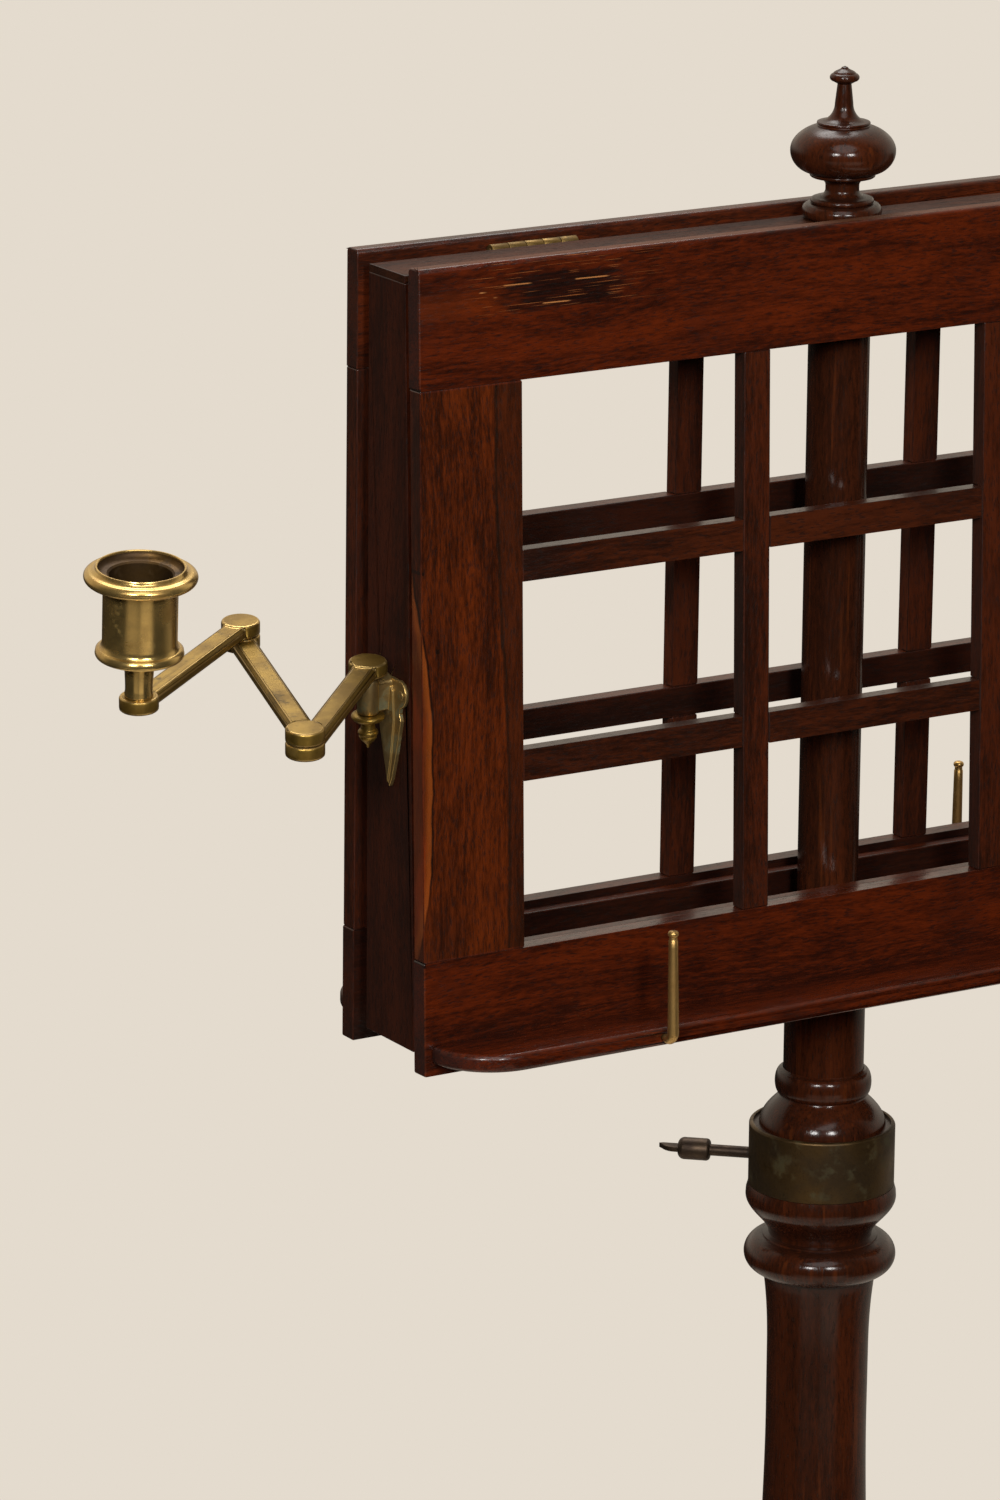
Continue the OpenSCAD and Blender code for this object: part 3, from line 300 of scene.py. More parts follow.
def along_grain(axis, along, across):
    """A scale vector: `along` on the grain's axis, `across` on the other two."""
    scale = [across, across, across]
    scale[GRAIN[axis][0]] = along
    return tuple(scale)


def faded(colour, share):
    """A colour with only a share of its light left."""
    return tuple(share * part for part in colour[:3]) + (1.0,)


def mahogany(name, axis, pale, dark, seed=0.0, gloss=0.27, coat=0.22, extra=None, board=True,
             figure=1.0, ior=1.36, relief=0.22):
    """Polished wood with its grain along one axis and darker ends. With `board` its sides also get a
    painted shade and a duller polish, and its top edge a tan colour and a duller polish. `extra` may
    repaint the colour at the end."""
    made = bpy.data.materials.new(name)
    made.use_nodes = True
    r = Recipe(made.node_tree)
    place = r.object_place()
    shifted = r.stretched(place, (1, 1, 1), (seed, seed * 1.7, seed * 0.6))
    sway = (r.cloud(r.stretched(shifted, along_grain(axis, 5.0, 14.0)), 1.0, 2.0) - 0.5) * 0.016
    bend = r.add("ShaderNodeCombineXYZ", None, {n: sway for n in GRAIN[axis][1:]})
    bent = r.add("ShaderNodeVectorMath", {"operation": "ADD"}, {0: shifted, 1: bend})
    bands = r.cloud(r.stretched(bent, along_grain(axis, 6.0, 42.0)), 1.0, 3.0, 0.6)
    fibres = r.cloud(r.stretched(bent, along_grain(axis, 48.0, 460.0)), 1.0, 3.0, 0.7)
    flecks = r.cloud(r.stretched(bent, along_grain(axis, 190.0, 900.0)), 1.0, 2.0, 0.6)
    pores = r.cloud(r.stretched(bent, along_grain(axis, 210.0, 1250.0)), 1.0, 1.0).between(0.57, 0.68)
    body = (bands * 0.42 * figure + fibres * 0.34 + flecks * 0.24 + 0.21 * (1 - figure)).between(0.38, 0.62)
    colour = r.blend(body, dark, pale)
    colour = r.blend(pores * 0.6, colour, faded(dark, 0.3))
    grime = r.cloud(shifted, 14.0, 4.0, 0.6).between(0.50, 0.68)
    colour = r.blend(grime * 0.38, colour, faded(dark, 0.5))
    facing = r.parts(r.object_place("Normal"))
    end = facing[GRAIN[axis][0]].size().between(0.75, 0.95)
    rough = gloss + (fibres - 0.5) * 0.16 + pores * 0.12 + grime * 0.08 + end * 0.15
    coat_weight = coat
    if board:
        side = facing[0].size().between(0.55, 0.9)
        top = facing[2].between(0.9, 0.99) * r.parts(place)[2].between(1.148, 1.156)
        # End grain is darker, and the sides get a painted shade.
        colour = r.blend(end.most(side) * 0.5, colour, faded(dark, 0.55))
        colour = r.blend(top * 0.6, colour, shade(98, 58, 30))
        rough = rough + side * 0.2 + top * 0.42
        coat_weight = (1 - side.most(top)) * coat
    else:
        colour = r.blend(end * 0.5, colour, faded(dark, 0.55))
    if extra:
        colour = extra(r, place, colour)
    bumps = r.add("ShaderNodeBump", None, {"Strength": relief, "Distance": 0.0004,
                                            "Height": fibres * 0.5 - pores + grime * 0.2})
    skin = r.add("ShaderNodeBsdfPrincipled", None, {
        "Base Color": colour, "Roughness": rough, "Normal": bumps,
        "Coat Weight": coat_weight, "Coat Roughness": 0.18, "IOR": ior})
    r.add("ShaderNodeOutputMaterial", None, {"Surface": skin})
    return made


print("grain along X stretches noise by", along_grain("X", 6.0, 42.0))

# %% [markdown]
# Old brass is bright only where hands and cloths reach. Elsewhere it browns, and in patches it turns
# grey-green. The three are mixed by soft noises, with fine rubbed lines in the roughness. One function
# serves every metal of the stand, because they differ only in colour and in how far they have aged.

# %% Metal recipe
def old_brass(name, bright, dull, patina, seed, worn, green, rough, speckle):
    """Aged metal: `worn` is how much of it shines, `green` how much of it carries patina, `rough` how
    dull its bright part is, and `speckle` how strong its small dark pits are."""
    made = bpy.data.materials.new(name)
    made.use_nodes = True
    r = Recipe(made.node_tree)
    place = r.stretched(r.object_place(), (1, 1, 1), (seed, -seed, seed * 0.5))
    tarnish = r.cloud(place, 38.0, 4.0, 0.6).between(worn - 0.16, worn + 0.14)
    crust = r.cloud(place, 85.0, 3.0, 0.7).between(0.62 - 0.25 * green, 0.80 - 0.25 * green)
    rubbed = r.cloud(r.stretched(place, (260, 260, 1400)), 1.0, 2.0)
    colour = r.blend(tarnish, bright, dull)
    colour = r.blend(crust * (0.35 + green), colour, patina)
    pits = r.cloud(place, 900.0, 2.0).between(0.58, 0.72)
    colour = r.blend(pits * 0.4 * speckle, colour, faded(dull, 0.5))
    relief = r.add("ShaderNodeBump", None, {"Strength": 0.05 + 0.13 * speckle, "Distance": 0.0003,
                                            "Height": rubbed * 0.3 - pits * 0.6 + tarnish * 0.2})
    skin = r.add("ShaderNodeBsdfPrincipled", None, {
        "Base Color": colour, "Metallic": 0.92 - crust * 0.35 - tarnish * 0.14, "Normal": relief,
        "Roughness": rough + tarnish * 0.14 + crust * 0.2 + (rubbed - 0.5) * 0.12})
    r.add("ShaderNodeOutputMaterial", None, {"Surface": skin})
    return made


print("half of a mid brass:", np.round(faded(shade(116, 90, 36), 0.5), 4).tolist())

# %% [markdown]
# The front top rail has a dark scorched patch with tan scratches through the polish. Such a mark stays
# at one place on one board, so its mask is worked out from the place itself, in metres: a soft step at
# each side of a range, made ragged by a noise.

# %% Scorched rail
# A near-black used for dirt in the joints and for painted shade on the back slope's inner faces.
DIRT_AND_SHADE = shade(20, 11, 8)


def front_face(y):
    """1 on the front slope's outer face, 0 behind it."""
    return 1 - y.between(-0.0335, -0.0325)


def stain(r, place, colour, x_range, z_range, tone, strength, soft=0.004, lines=0.0):
    """A soft-edged patch on the front slope, roughened by noise and drawn out along the rail. `lines`
    is how much of it breaks up into level streaks."""
    x, y, z = r.parts(place)
    wobble = (r.cloud(r.stretched(place, (50, 50, 420)), 1.0, 4.0, 0.6) - 0.5) * 0.010
    inside = (x + wobble * 5).between(x_range[0] - soft * 5, x_range[0] + soft * 3)
    inside = inside * (1 - (x + wobble * 5).between(x_range[1] - soft * 3, x_range[1] + soft * 5))
    inside = inside * (z + wobble).between(z_range[0] - soft, z_range[0] + soft)
    inside = inside * (1 - (z + wobble).between(z_range[1] - soft, z_range[1] + soft))
    streaks = r.cloud(r.stretched(place, (34, 34, 1100)), 1.0, 3.0, 0.6).between(0.36, 0.56)
    broken = 1 - lines + streaks * lines
    return r.blend(inside * front_face(y) * strength * broken, colour, tone)


# Each long scratch: where it starts and ends along the rail, and its height at the start.
SCRATCHES = ((-0.2185, -0.2010, 1.1533), (-0.1780, -0.1570, 1.1526), (-0.1965, -0.1790, 1.1426),
             (-0.2320, -0.2265, 1.1510), (-0.2240, -0.2205, 1.1480))
SCRATCH_SLOPE = -0.012


def scarred(r, place, colour):
    """The front top rail: a reddened end, a dark scorched patch, a few long tan scratches through the
    polish and a scatter of short ones."""
    colour = stain(r, place, colour, (-0.300, -0.212), (1.140, 1.152), shade(124, 50, 12), 0.22)
    colour = stain(r, place, colour, (-0.213, -0.154), (1.1405, 1.1570), shade(18, 10, 8), 0.92,
                   soft=0.0024, lines=0.28)
    x, y, z = r.parts(place)
    broken = r.cloud(r.stretched(place, (42, 60, 2600)), 1.0, 0.0).between(0.70, 0.75)
    for x0, x1, z0 in SCRATCHES:
        inside = x.between(x0, x0 + 0.002) * (1 - x.between(x1 - 0.004, x1))
        line = 1 - (z - z0 - (x - x0) * SCRATCH_SLOPE).size().between(0.0001, 0.00045)
        colour = r.blend(inside * line * front_face(y), colour, shade(176, 116, 66))
    scratched = x.between(-0.245, -0.225) * (1 - x.between(-0.15, -0.12)) * z.between(1.138, 1.142)
    return r.blend(scratched * broken * 0.7, colour, shade(158, 92, 48))


print("long scratches:", len(SCRATCHES))

# %% [markdown]
# The front left upright was cut close to the bark. A tongue of orange sapwood runs down its outer edge,
# narrow above and swollen below, with a crack beside it. `across` measures from the tongue's curved
# side, so one sum gives the tongue, its bright middle and the crack.

# %% Sapwood
def sapwood(r, place, colour):
    """The front left upright: a tongue of orange sapwood along its outer edge with a crack beside it,
    and a darker strip down its inner edge."""
    x, y, z = r.parts(place)
    wave = (r.cloud(r.stretched(place, (20, 20, 60)), 1.0, 2.0) - 0.5) * 0.003
    depth = y + 0.0337 + (1.165 - z) * 0.0255
    swell = z.between(0.800, 0.880) * (1 - z.between(0.945, 1.03))
    across = x + 0.2705 - swell * 0.0108 - depth * 0.55 + wave
    tongue = (1 - across.between(-0.0006, 0.0006)) * z.between(0.805, 0.850) * (1 - z.between(0.99, 1.04))
    streak = r.cloud(r.stretched(place, (420, 420, 45)), 1.0, 4.0, 0.7).between(0.35, 0.65)
    red = r.cloud(r.stretched(place, (60, 60, 22)), 1.0, 2.0).between(0.42, 0.60)
    inner = across.between(-0.0045, -0.0012)
    reddish = r.blend(red, shade(74, 30, 13), shade(112, 42, 15))
    amber = r.blend(inner * 0.75 + streak * 0.25, reddish, shade(140, 70, 24))
    colour = r.blend(tongue * (0.92 - streak * 0.45), colour, amber)
    crack = 1 - (across - 0.0006).size().between(0.0002, 0.0009)
    crack = crack * z.between(0.83, 0.87) * (1 - z.between(1.0, 1.04))
    colour = r.blend(crack * 0.8, colour, shade(20, 11, 7))
    edge = x + 0.2225 - (1 - z.between(0.90, 1.07)) * 0.0065 + wave
    strip = edge.between(-0.0003, 0.0003)
    colour = r.blend(strip * 0.5, colour, shade(40, 20, 11))
    seam = 1 - edge.size().between(0.0002, 0.0016)
    colour = r.blend(seam * 0.7, colour, shade(24, 16, 10))
    for dent_x, dent_z, half in ((-0.2559, 0.9782, 0.0011), (-0.2640, 1.0174, 0.0008)):
        dent = (x - dent_x).size().most((z - dent_z).size())
        colour = r.blend((1 - dent.between(half * 0.8, half * 1.3)) * 0.8, colour, shade(22, 12, 8))
    return colour


print("the sapwood tongue runs from 0.80 to 1.04 m above the floor")

# %% [markdown]
# Two smaller marks of age, dirt in the joints between boards and the streaks in the turned parts' old
# polish, and a painted shade on the back slope's inner side, where the front slope shadows it.

# %% Age on the other wood
def seams(r, place, colour):
    """Dark dirt in the joints: the edges that face up or down between rail and upright."""
    tilt = r.parts(r.object_place("Normal"))[2].size()
    return r.blend(tilt.between(0.2, 0.5) * (1 - tilt.between(0.97, 0.99)) * 0.85, colour, shade(22, 12, 8))


TOP_JOINT, BOTTOM_JOINT = 1.106, 0.8225


def rail_joints(r, place, colour):
    """The rails' own edges: dark where they meet an upright on the slope's end."""
    x, _, z = r.parts(place)
    joint = (z - TOP_JOINT).size().least((z - BOTTOM_JOINT).size())
    near = x.size().between(0.2625, 0.2640) * (1 - joint.between(0.0012, 0.0022))
    return r.blend(near * 0.9, colour, DIRT_AND_SHADE)


def shaded_inside(r, place, colour, strength=0.75):
    """Painted shade on the back slope's inner faces below its top rail, where the front slope shadows them.
    """
    inward = 1 - r.parts(r.object_place("Normal"))[1].between(-0.9, -0.6)
    low = 1 - r.parts(place)[2].between(TOP_JOINT - 0.001, TOP_JOINT + 0.001)
    # Painted shade: the inner faces are blended towards near-black.
    return r.blend(inward * low * strength, colour, DIRT_AND_SHADE)


def half_shaded(r, place, colour):
    """A lighter painted shade on the back slope's uprights, whose faces catch more of the room."""
    return shaded_inside(r, place, colour, 0.35)


def old_polish(r, place, colour):
    """The turned parts: polish that has darkened in broad upright streaks, with a few warm threads."""
    dark = r.cloud(r.stretched(place, (34, 34, 3.5)), 1.0, 2.0).between(0.46, 0.60)
    warm = r.cloud(r.stretched(place, (260, 260, 9)), 1.0, 2.0).between(0.62, 0.72)
    colour = r.blend(dark * 0.35, colour, shade(30, 15, 9))
    return r.blend(warm * 0.15, colour, shade(128, 62, 22))


print("joints at", TOP_JOINT, "and", BOTTOM_JOINT, "m")

# %% [markdown]
# One finish for each kind of part, named as a maker would. Grain runs along each board, so the rails and
# the uprights need their own, and a bevelled edge gets a slightly paler finish than its faces: partly worn
# polish and partly a painted highlight along the arris.

# %% Wood finishes
# Each: the pale tone, the dark tone and the seed that shifts its noises.
RAIL, STILE = (shade(90, 31, 7), shade(42, 14, 6), 3.1), (shade(96, 38, 9), shade(42, 16, 6), 5.3)
rail_red = mahogany("rail_red", "X", *RAIL)
rail_scarred = mahogany("rail_scarred", "X", *RAIL, extra=scarred)
stile_red = mahogany("stile_red", "Z", *STILE)
stile_sapwood = mahogany("stile_sapwood", "Z", *STILE, extra=sapwood)
bar_level = mahogany("bar_level", "X", shade(70, 29, 11), shade(34, 14, 7), 6.6, gloss=0.3, coat=0.25)
bar_upright = mahogany("bar_upright", "Z", shade(74, 30, 12), shade(36, 15, 7), 7.2, gloss=0.3, coat=0.25)
# The back slope's finishes carry a painted shade on their inner faces.
back_level = mahogany("back_level", "X", shade(84, 33, 11), shade(42, 17, 8), 4.4,
                      gloss=0.34, coat=0.1, extra=shaded_inside, board=False, ior=1.32)
back_upright = mahogany("back_upright", "Z", shade(82, 34, 13), shade(42, 18, 9), 4.9,
                        gloss=0.36, coat=0.1, extra=half_shaded, board=False, ior=1.32)
frame_brown = mahogany("frame_brown", "Z", shade(78, 31, 11), shade(40, 15, 6), 8.2,
                       gloss=0.42, coat=0.1, ior=1.24)
frame_level = mahogany("frame_level", "X", shade(74, 36, 16), shade(40, 19, 9), 9.9,
                       gloss=0.55, coat=0.0, board=False, ior=1.20)
turned_dark = mahogany("turned_dark", "Z", shade(70, 31, 14), shade(41, 19, 10), 1.4, gloss=0.16,
                       coat=0.09, extra=old_polish, board=False, figure=0.8, ior=1.32, relief=0.06)
# The front slope's edge finishes are paler than its faces: worn polish and a painted highlight along the
# arris.
rail_edge = mahogany("rail_edge", "X", shade(96, 38, 14), shade(52, 20, 9), 3.1,
                     gloss=0.3, coat=0.25, extra=rail_joints, board=False)
stile_edge = mahogany("stile_edge", "Z", shade(96, 38, 16), shade(52, 20, 11), 5.3,
                      gloss=0.3, coat=0.4, extra=seams, board=False)
dark_edge = mahogany("dark_edge", "Z", shade(66, 28, 15), shade(36, 16, 9), 8.2,
                     gloss=0.34, coat=0.2, board=False)
print("wood finishes made, from", rail_red.name, "to", dark_edge.name)

# %% [markdown]
# The metals differ in how often they are touched. The cups are bright all over, the links and pins are
# half dulled, the bracket plates have grey-green patches, and the collar has gone dark all over.

# %% Metal finishes
# Each metal: its bright, dull and patina colours, then its seed, worn, green, rough and speckle.
METALS = {
    "arm_brass": ((154, 124, 56), (116, 90, 36), (66, 54, 26), 2.2, 0.50, 0.28, 0.34, 0.5),
    "cup_brass": ((214, 180, 110), (168, 132, 72), (104, 78, 44), 6.7, 0.60, 0.08, 0.20, 0.12),
    "plate_brass": ((176, 150, 98), (126, 104, 66), (104, 104, 78), 4.4, 0.50, 0.50, 0.36, 0.5),
    "pin_brass": ((196, 158, 96), (142, 108, 60), (96, 80, 52), 7.5, 0.52, 0.15, 0.36, 0.5),
    "hinge_brass": ((132, 106, 58), (92, 72, 38), (60, 50, 30), 8.3, 0.50, 0.30, 0.42, 0.5),
    "worn_brass": ((200, 168, 104), (150, 120, 68), (120, 108, 72), 2.9, 0.58, 0.10, 0.30, 0.5),
    "collar_bronze": ((96, 74, 44), (60, 46, 28), (64, 60, 34), 9.1, 0.48, 0.35, 0.36, 1.0),
    "rim_bronze": ((148, 118, 74), (100, 76, 44), (66, 56, 36), 9.6, 0.55, 0.20, 0.28, 0.5),
    "cup_inside": ((104, 78, 42), (66, 48, 28), (48, 36, 22), 3.8, 0.45, 0.30, 0.42, 0.5),
    "dark_iron": ((92, 76, 60), (52, 40, 32), (44, 34, 27), 5.8, 0.48, 0.30, 0.38, 0.5)}
metal = {name: old_brass(name, shade(*bright), shade(*dull), shade(*patina), *numbers)
         for name, (bright, dull, patina, *numbers) in METALS.items()}
print("metal finishes:", list(metal))

# %% [markdown]
# The boards and the flat brass come straight from the CAD, whose shapes are right. Their edges are dead
# sharp there, so a Weld joins the loose triangles and a narrow Bevel breaks every arris. The bevel's own
# faces take the second material, which is how a worn edge gets its own finish, and on the front slope also
# a painted highlight.

# %% Dress the CAD nodes
def dress(names, face, edge, width, segments=2, angle=32.0):
    """Gives CAD nodes a face and an edge finish, and a bevel `width` metres wide."""
    for name in names:
        node = nodes[name]
        node.data.materials.clear()
        node.data.materials.append(face)
        node.data.materials.append(edge)
        node.data.polygons.foreach_set("material_index", [0] * len(node.data.polygons))
        weld = node.modifiers.new("weld", "WELD")
        weld.merge_threshold = 0.00001
        bevel = node.modifiers.new("bevel", "BEVEL")
        bevel.width, bevel.segments, bevel.limit_method = width, segments, "ANGLE"
        bevel.angle_limit, bevel.material, bevel.use_clamp_overlap = np.radians(angle), 1, False
        bevel.harden_normals = True


def both(*parts):
    """The names of these parts on the front slope and on the back one."""
    return [f"{face}_{part}" for face in ("front", "back") for part in parts]


dress(["front_top_rail"], rail_scarred, rail_edge, 0.0009, 3)
dress(["front_bottom_rail", "front_ledge"], rail_red, rail_edge, 0.0009, 3)
dress(["front_stile_left"], stile_sapwood, stile_edge, 0.0009, 3)
dress(["front_stile_right"], stile_red, stile_edge, 0.0009, 3)
dress(["back_top_rail", "back_bottom_rail", "back_level_bars", "back_ledge", *both("stay_bar")],
      back_level, dark_edge, 0.0007)
dress(["back_stile_left", "back_stile_right", "back_upright_bars", *both("stay_arms")],
      back_upright, dark_edge, 0.0007)
dress(["front_level_bars"], bar_level, dark_edge, 0.0006)
dress(["front_upright_bars"], bar_upright, dark_edge, 0.0006)
dress(["end_board_left", "end_board_right", "racks"], frame_brown, dark_edge, 0.0007)
dress(["top_board", "bottom_board"], frame_level, dark_edge, 0.0006)
dress(["frame_hinge_leaves", *both("hinge_leaves")], metal["hinge_brass"], metal["hinge_brass"], 0.0002)
dress(["hinge_pins", "frame_screws", *both("slope_screws", "stay_plates")],
      metal["plate_brass"], metal["worn_brass"], 0.00015)
dress(["bracket_left", "bracket_right"], metal["plate_brass"], metal["worn_brass"], 0.0004)
dress([f"arm_{link}_{side}" for link in ("inner", "middle", "outer") for side in ("left", "right")],
      metal["arm_brass"], metal["worn_brass"], 0.0007, 3)
dress(["base_plate"], metal["dark_iron"], metal["rim_bronze"], 0.0003)
print("dressed:", sum(1 for node in nodes.values() if node.modifiers))

# %% [markdown]
# The turned parts are lathe work: a profile, given as distance from the axis and height, is carried
# round the axis. The curves below are the ones a turner cuts: beads, coves and long sweeps. Each
# returns a numpy array of points, so a profile is a few of them joined end to end.

# %% Turner's curves
MM = 0.001


def steps(count):
    """Even steps from 0 to 1."""
    return np.linspace(0, 1, count + 1)


def arc(r0, z0, radius, start, end, count=14):
    """Points of a circle about (r0, z0), from one angle to another: cosine out, sine up."""
    a = np.radians(start + (end - start) * steps(count))
    return np.stack([r0 + radius * np.cos(a), z0 + radius * np.sin(a)], 1)


def bulge(r0, r1, z0, z1, count=20):
    """A half ellipse that stands out from r0 to r1 and comes back: a sine in the radius, one minus the
    cosine in the height."""
    t = np.pi * steps(count)
    return np.stack([r0 + (r1 - r0) * np.sin(t), z0 + (z1 - z0) * (1 - np.cos(t)) / 2], 1)


def sweep(r0, z0, r1, z1, count=22):
    """Half a cosine wave in the radius while the height rises evenly."""
    t = steps(count)
    return np.stack([r0 + (r1 - r0) * (1 - np.cos(np.pi * t)) / 2, z0 + (z1 - z0) * t], 1)


def flare(r0, z0, r1, z1, power=2.4, count=20):
    """Starts upright and opens out faster and faster: the radius grows as a power of the height."""
    t = steps(count)
    return np.stack([r0 + (r1 - r0) * t ** power, z0 + (z1 - z0) * t], 1)


def up_then_level(r0, z0, r1, z1, power=1.0, count=18):
    """Leaves the first point upright and reaches the last one level: a quarter ellipse whose cosine,
    in the radius, is raised to a power."""
    a = np.pi / 2 * steps(count)
    return np.stack([r1 + (r0 - r1) * np.abs(np.cos(a)) ** power, z0 + (z1 - z0) * np.sin(a)], 1)


def level_then_up(r0, z0, r1, z1, power=1.0, count=18):
    """Leaves the first point level and reaches the last one upright: a quarter ellipse whose sine, in
    the radius, is raised to a power."""
    a = np.pi / 2 * steps(count)
    return np.stack([r0 + (r1 - r0) * np.sin(a) ** power, z0 + (z1 - z0) * (1 - np.cos(a))], 1)


def torus(r0, z0, wide, r1, z1, count=28):
    """Half an ellipse that comes out from r0 to wide and goes back in to r1: one minus the cosine in
    the radius, the sine in the height."""
    a = np.pi * steps(count) - np.pi / 2
    edge = np.where(a < 0, r0, r1)
    return np.stack([wide - (wide - edge) * (1 - np.cos(a)),
                     (z0 + z1) / 2 + (z1 - z0) / 2 * np.sin(a)], 1)


def points(*pairs):
    """Corners given one by one."""
    return np.array(pairs, float)


print("a half round of 4 mm stands out by", round(float(np.ptp(arc(0, 0, 4, -90, 90)[:, 0])), 2), "mm")

# %% [markdown]
# Every new piece is made in the same way. Its points and faces become a mesh, edges sharper than a given
# angle stay crisp while the rest is smooth, and the piece rides on the body that moves it.

# %% Put a piece on its body
def put(name, places, faces, finish, body, stands_for=(), crisp=38.0):
    """Makes the mesh, shades it, and lets it ride on its body in place of the CAD nodes named."""
    mesh = bpy.data.meshes.new(name)
    mesh.from_pydata(places.tolist(), [], faces)
    mesh.polygons.foreach_set("use_smooth", [True] * len(mesh.polygons))
    mesh.set_sharp_from_angle(angle=np.radians(crisp))
    mesh.materials.append(finish)
    piece = bpy.data.objects.new(name, mesh)
    bpy.context.scene.collection.objects.link(piece)
    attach(piece, body)
    if stands_for:
        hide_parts(*stands_for)
    return piece


# %% [markdown]
# A lathe surface is a grid of rings. Where the profile touches the axis, the ring shrinks to a single
# point, so the pole closes. A Screw modifier can turn a profile too, but here the finished points are
# at hand, to be measured and moved.

# %% Lathe
def ring_faces(rings, around):
    """Quads between neighbouring rings of a stack, each ring `around` points long."""
    i = np.arange(rings - 1)[:, None] * around
    j = np.arange(around)[None, :]
    k = (j + 1) % around
    return np.stack([i + j, i + k, i + around + k, i + around + j], -1).reshape(-1, 4).tolist()


def bridge(lower, upper, around):
    """Quads from the ring that starts at point `lower` to the one that starts at `upper`."""
    j, k = np.arange(around), (np.arange(around) + 1) % around
    return np.stack([lower + j, lower + k, upper + k, upper + j], 1).tolist()


def lathe(profile, around=128):
    """Carries (radius, height) points round the axis: a point is at (radius * cos angle, radius * sin
    angle, height). An end at radius 0 becomes one pole point, and a profile with no such end is closed
    into a tube."""
    start, end = profile[0, 0] < 1e-6, profile[-1, 0] < 1e-6
    inner = profile[1 if start else 0:len(profile) - (1 if end else 0)]
    angle = np.linspace(0, 2 * np.pi, around, endpoint=False)
    rings = np.stack([inner[:, :1] * np.cos(angle), inner[:, :1] * np.sin(angle),
                      np.repeat(inner[:, 1:], around, 1)], -1)
    places = rings.reshape(-1, 3)
    faces = ring_faces(len(inner), around)
    j, k = np.arange(around), (np.arange(around) + 1) % around
    top = (len(inner) - 1) * around
    if start:
        places = np.vstack([places, [[0, 0, profile[0, 1]]]])
        faces += np.stack([k, j, np.full(around, len(places) - 1)], 1).tolist()
    if end:
        places = np.vstack([places, [[0, 0, profile[-1, 1]]]])
        faces += np.stack([top + j, top + k, np.full(around, len(places) - 1)], 1).tolist()
    if not start and not end:
        faces += bridge(top, 0, around)
    return places, faces


print("lathe of a 10 mm rod:", len(lathe(points((0, 0), (5, 0), (5, 10), (0, 10)))[0]), "points")

# %% [markdown]
# A part is drawn in millimetres about its own axis. A 4 × 4 matrix then moves it to its place in the
# stand, and `@` joins moves: the one on the right happens first.

# %% Moves
def shift(x, y, z):
    """A move by x, y and z."""
    move = np.eye(4)
    move[:3, 3] = x, y, z
    return move


def spin(axis, degrees):
    """A turn about X, Y or Z."""
    a = np.radians(degrees)
    m, n = {"X": (1, 2), "Y": (2, 0), "Z": (0, 1)}[axis]
    move = np.eye(4)
    move[m, m], move[m, n], move[n, m], move[n, n] = np.cos(a), -np.sin(a), np.sin(a), np.cos(a)
    return move


def placed(places, move=np.eye(4)):
    """Millimetres in a part's own drawing, moved to the stand's frame and turned into metres."""
    return (places @ move[:3, :3].T + move[:3, 3]) * MM


print("10 mm along X, turned to Y:", np.round(placed(np.array([[10.0, 0, 0]]), spin("Z", 90)), 3).tolist())

# %% [markdown]
# The column is one long turning: a boss that takes the legs, a vase, a slender shaft, a broad ring
# under the collar and a domed mouth round the pole. The pole slides in its bore, so the profile goes
# down inside as well. A turner works to a drawn outline, and so does this: one profile from the boss
# up, in which each bead and hollow has its own curve.

# %% Column
top, vase_z, boss_top = 718.0, 226.0, 208.0
bore, shaft, ring, seat, vase, boss = 21.0, 26.2, 38.9, 35.5, 46.0, 38.0
column_profile = np.vstack([
    # the boss, and the bead and neck that carry the vase
    points((0, 108), (boss - 2, 108), (boss, 110), (boss, 205), (boss - 3, boss_top), (boss - 7, boss_top)),
    bulge(boss - 8, boss - 1, boss_top + 1, vase_z - 5),
    points((boss - 9, vase_z - 4), (boss - 11, vase_z)),
    # the vase and the bead above it
    sweep(boss - 11, vase_z, vase, vase_z + 62),
    sweep(vase, vase_z + 70, shaft + 1, vase_z + 176, 30),
    bulge(shaft + 1, shaft + 7, vase_z + 178, vase_z + 190),
    points((shaft + 2, vase_z + 191)),
    # the shaft, which opens out into the broad ring
    sweep(shaft + 2, vase_z + 193, shaft, top - 190),
    flare(shaft + 0.1, top - 156, shaft + 2.3, top - 116),
    torus(ring - 9.4, top - 111.4, ring + 0.4, ring - 9.1, top - 92.6),
    points((ring - 9.3, top - 91.8)),
    # the bulb, the seat of the collar, the dome and the mouth
    sweep(shaft + 0.6, top - 91, seat + 3.4, top - 70.5),
    points((seat + 3.2, top - 67.5), (seat + 2.2, top - 64)),
    points((seat, top - 64), (seat, top - 32.5)),
    up_then_level(seat - 2.8, top - 32.4, shaft - 3.8, top - 16.5, 2.2, 24),
    bulge(shaft - 4, shaft - 1.3, top - 15.6, top - 2.6),
    points((bore, top - 1.5), (bore, boss_top + 1), (0, boss_top + 1))])
places, faces = lathe(column_profile)
put("column_turning", placed(places), faces, turned_dark, "base", ["column"])
print("column: widest", round(column_profile[:, 0].max() * 2, 1), "mm")

# %% [markdown]
# The pole is a plain cylinder with a thinner post that runs up through the centre frame. Its lower
# end is softened, and the step under the frame has a small round. Two cylinders would show a seam at
# the step, so both come from one profile.

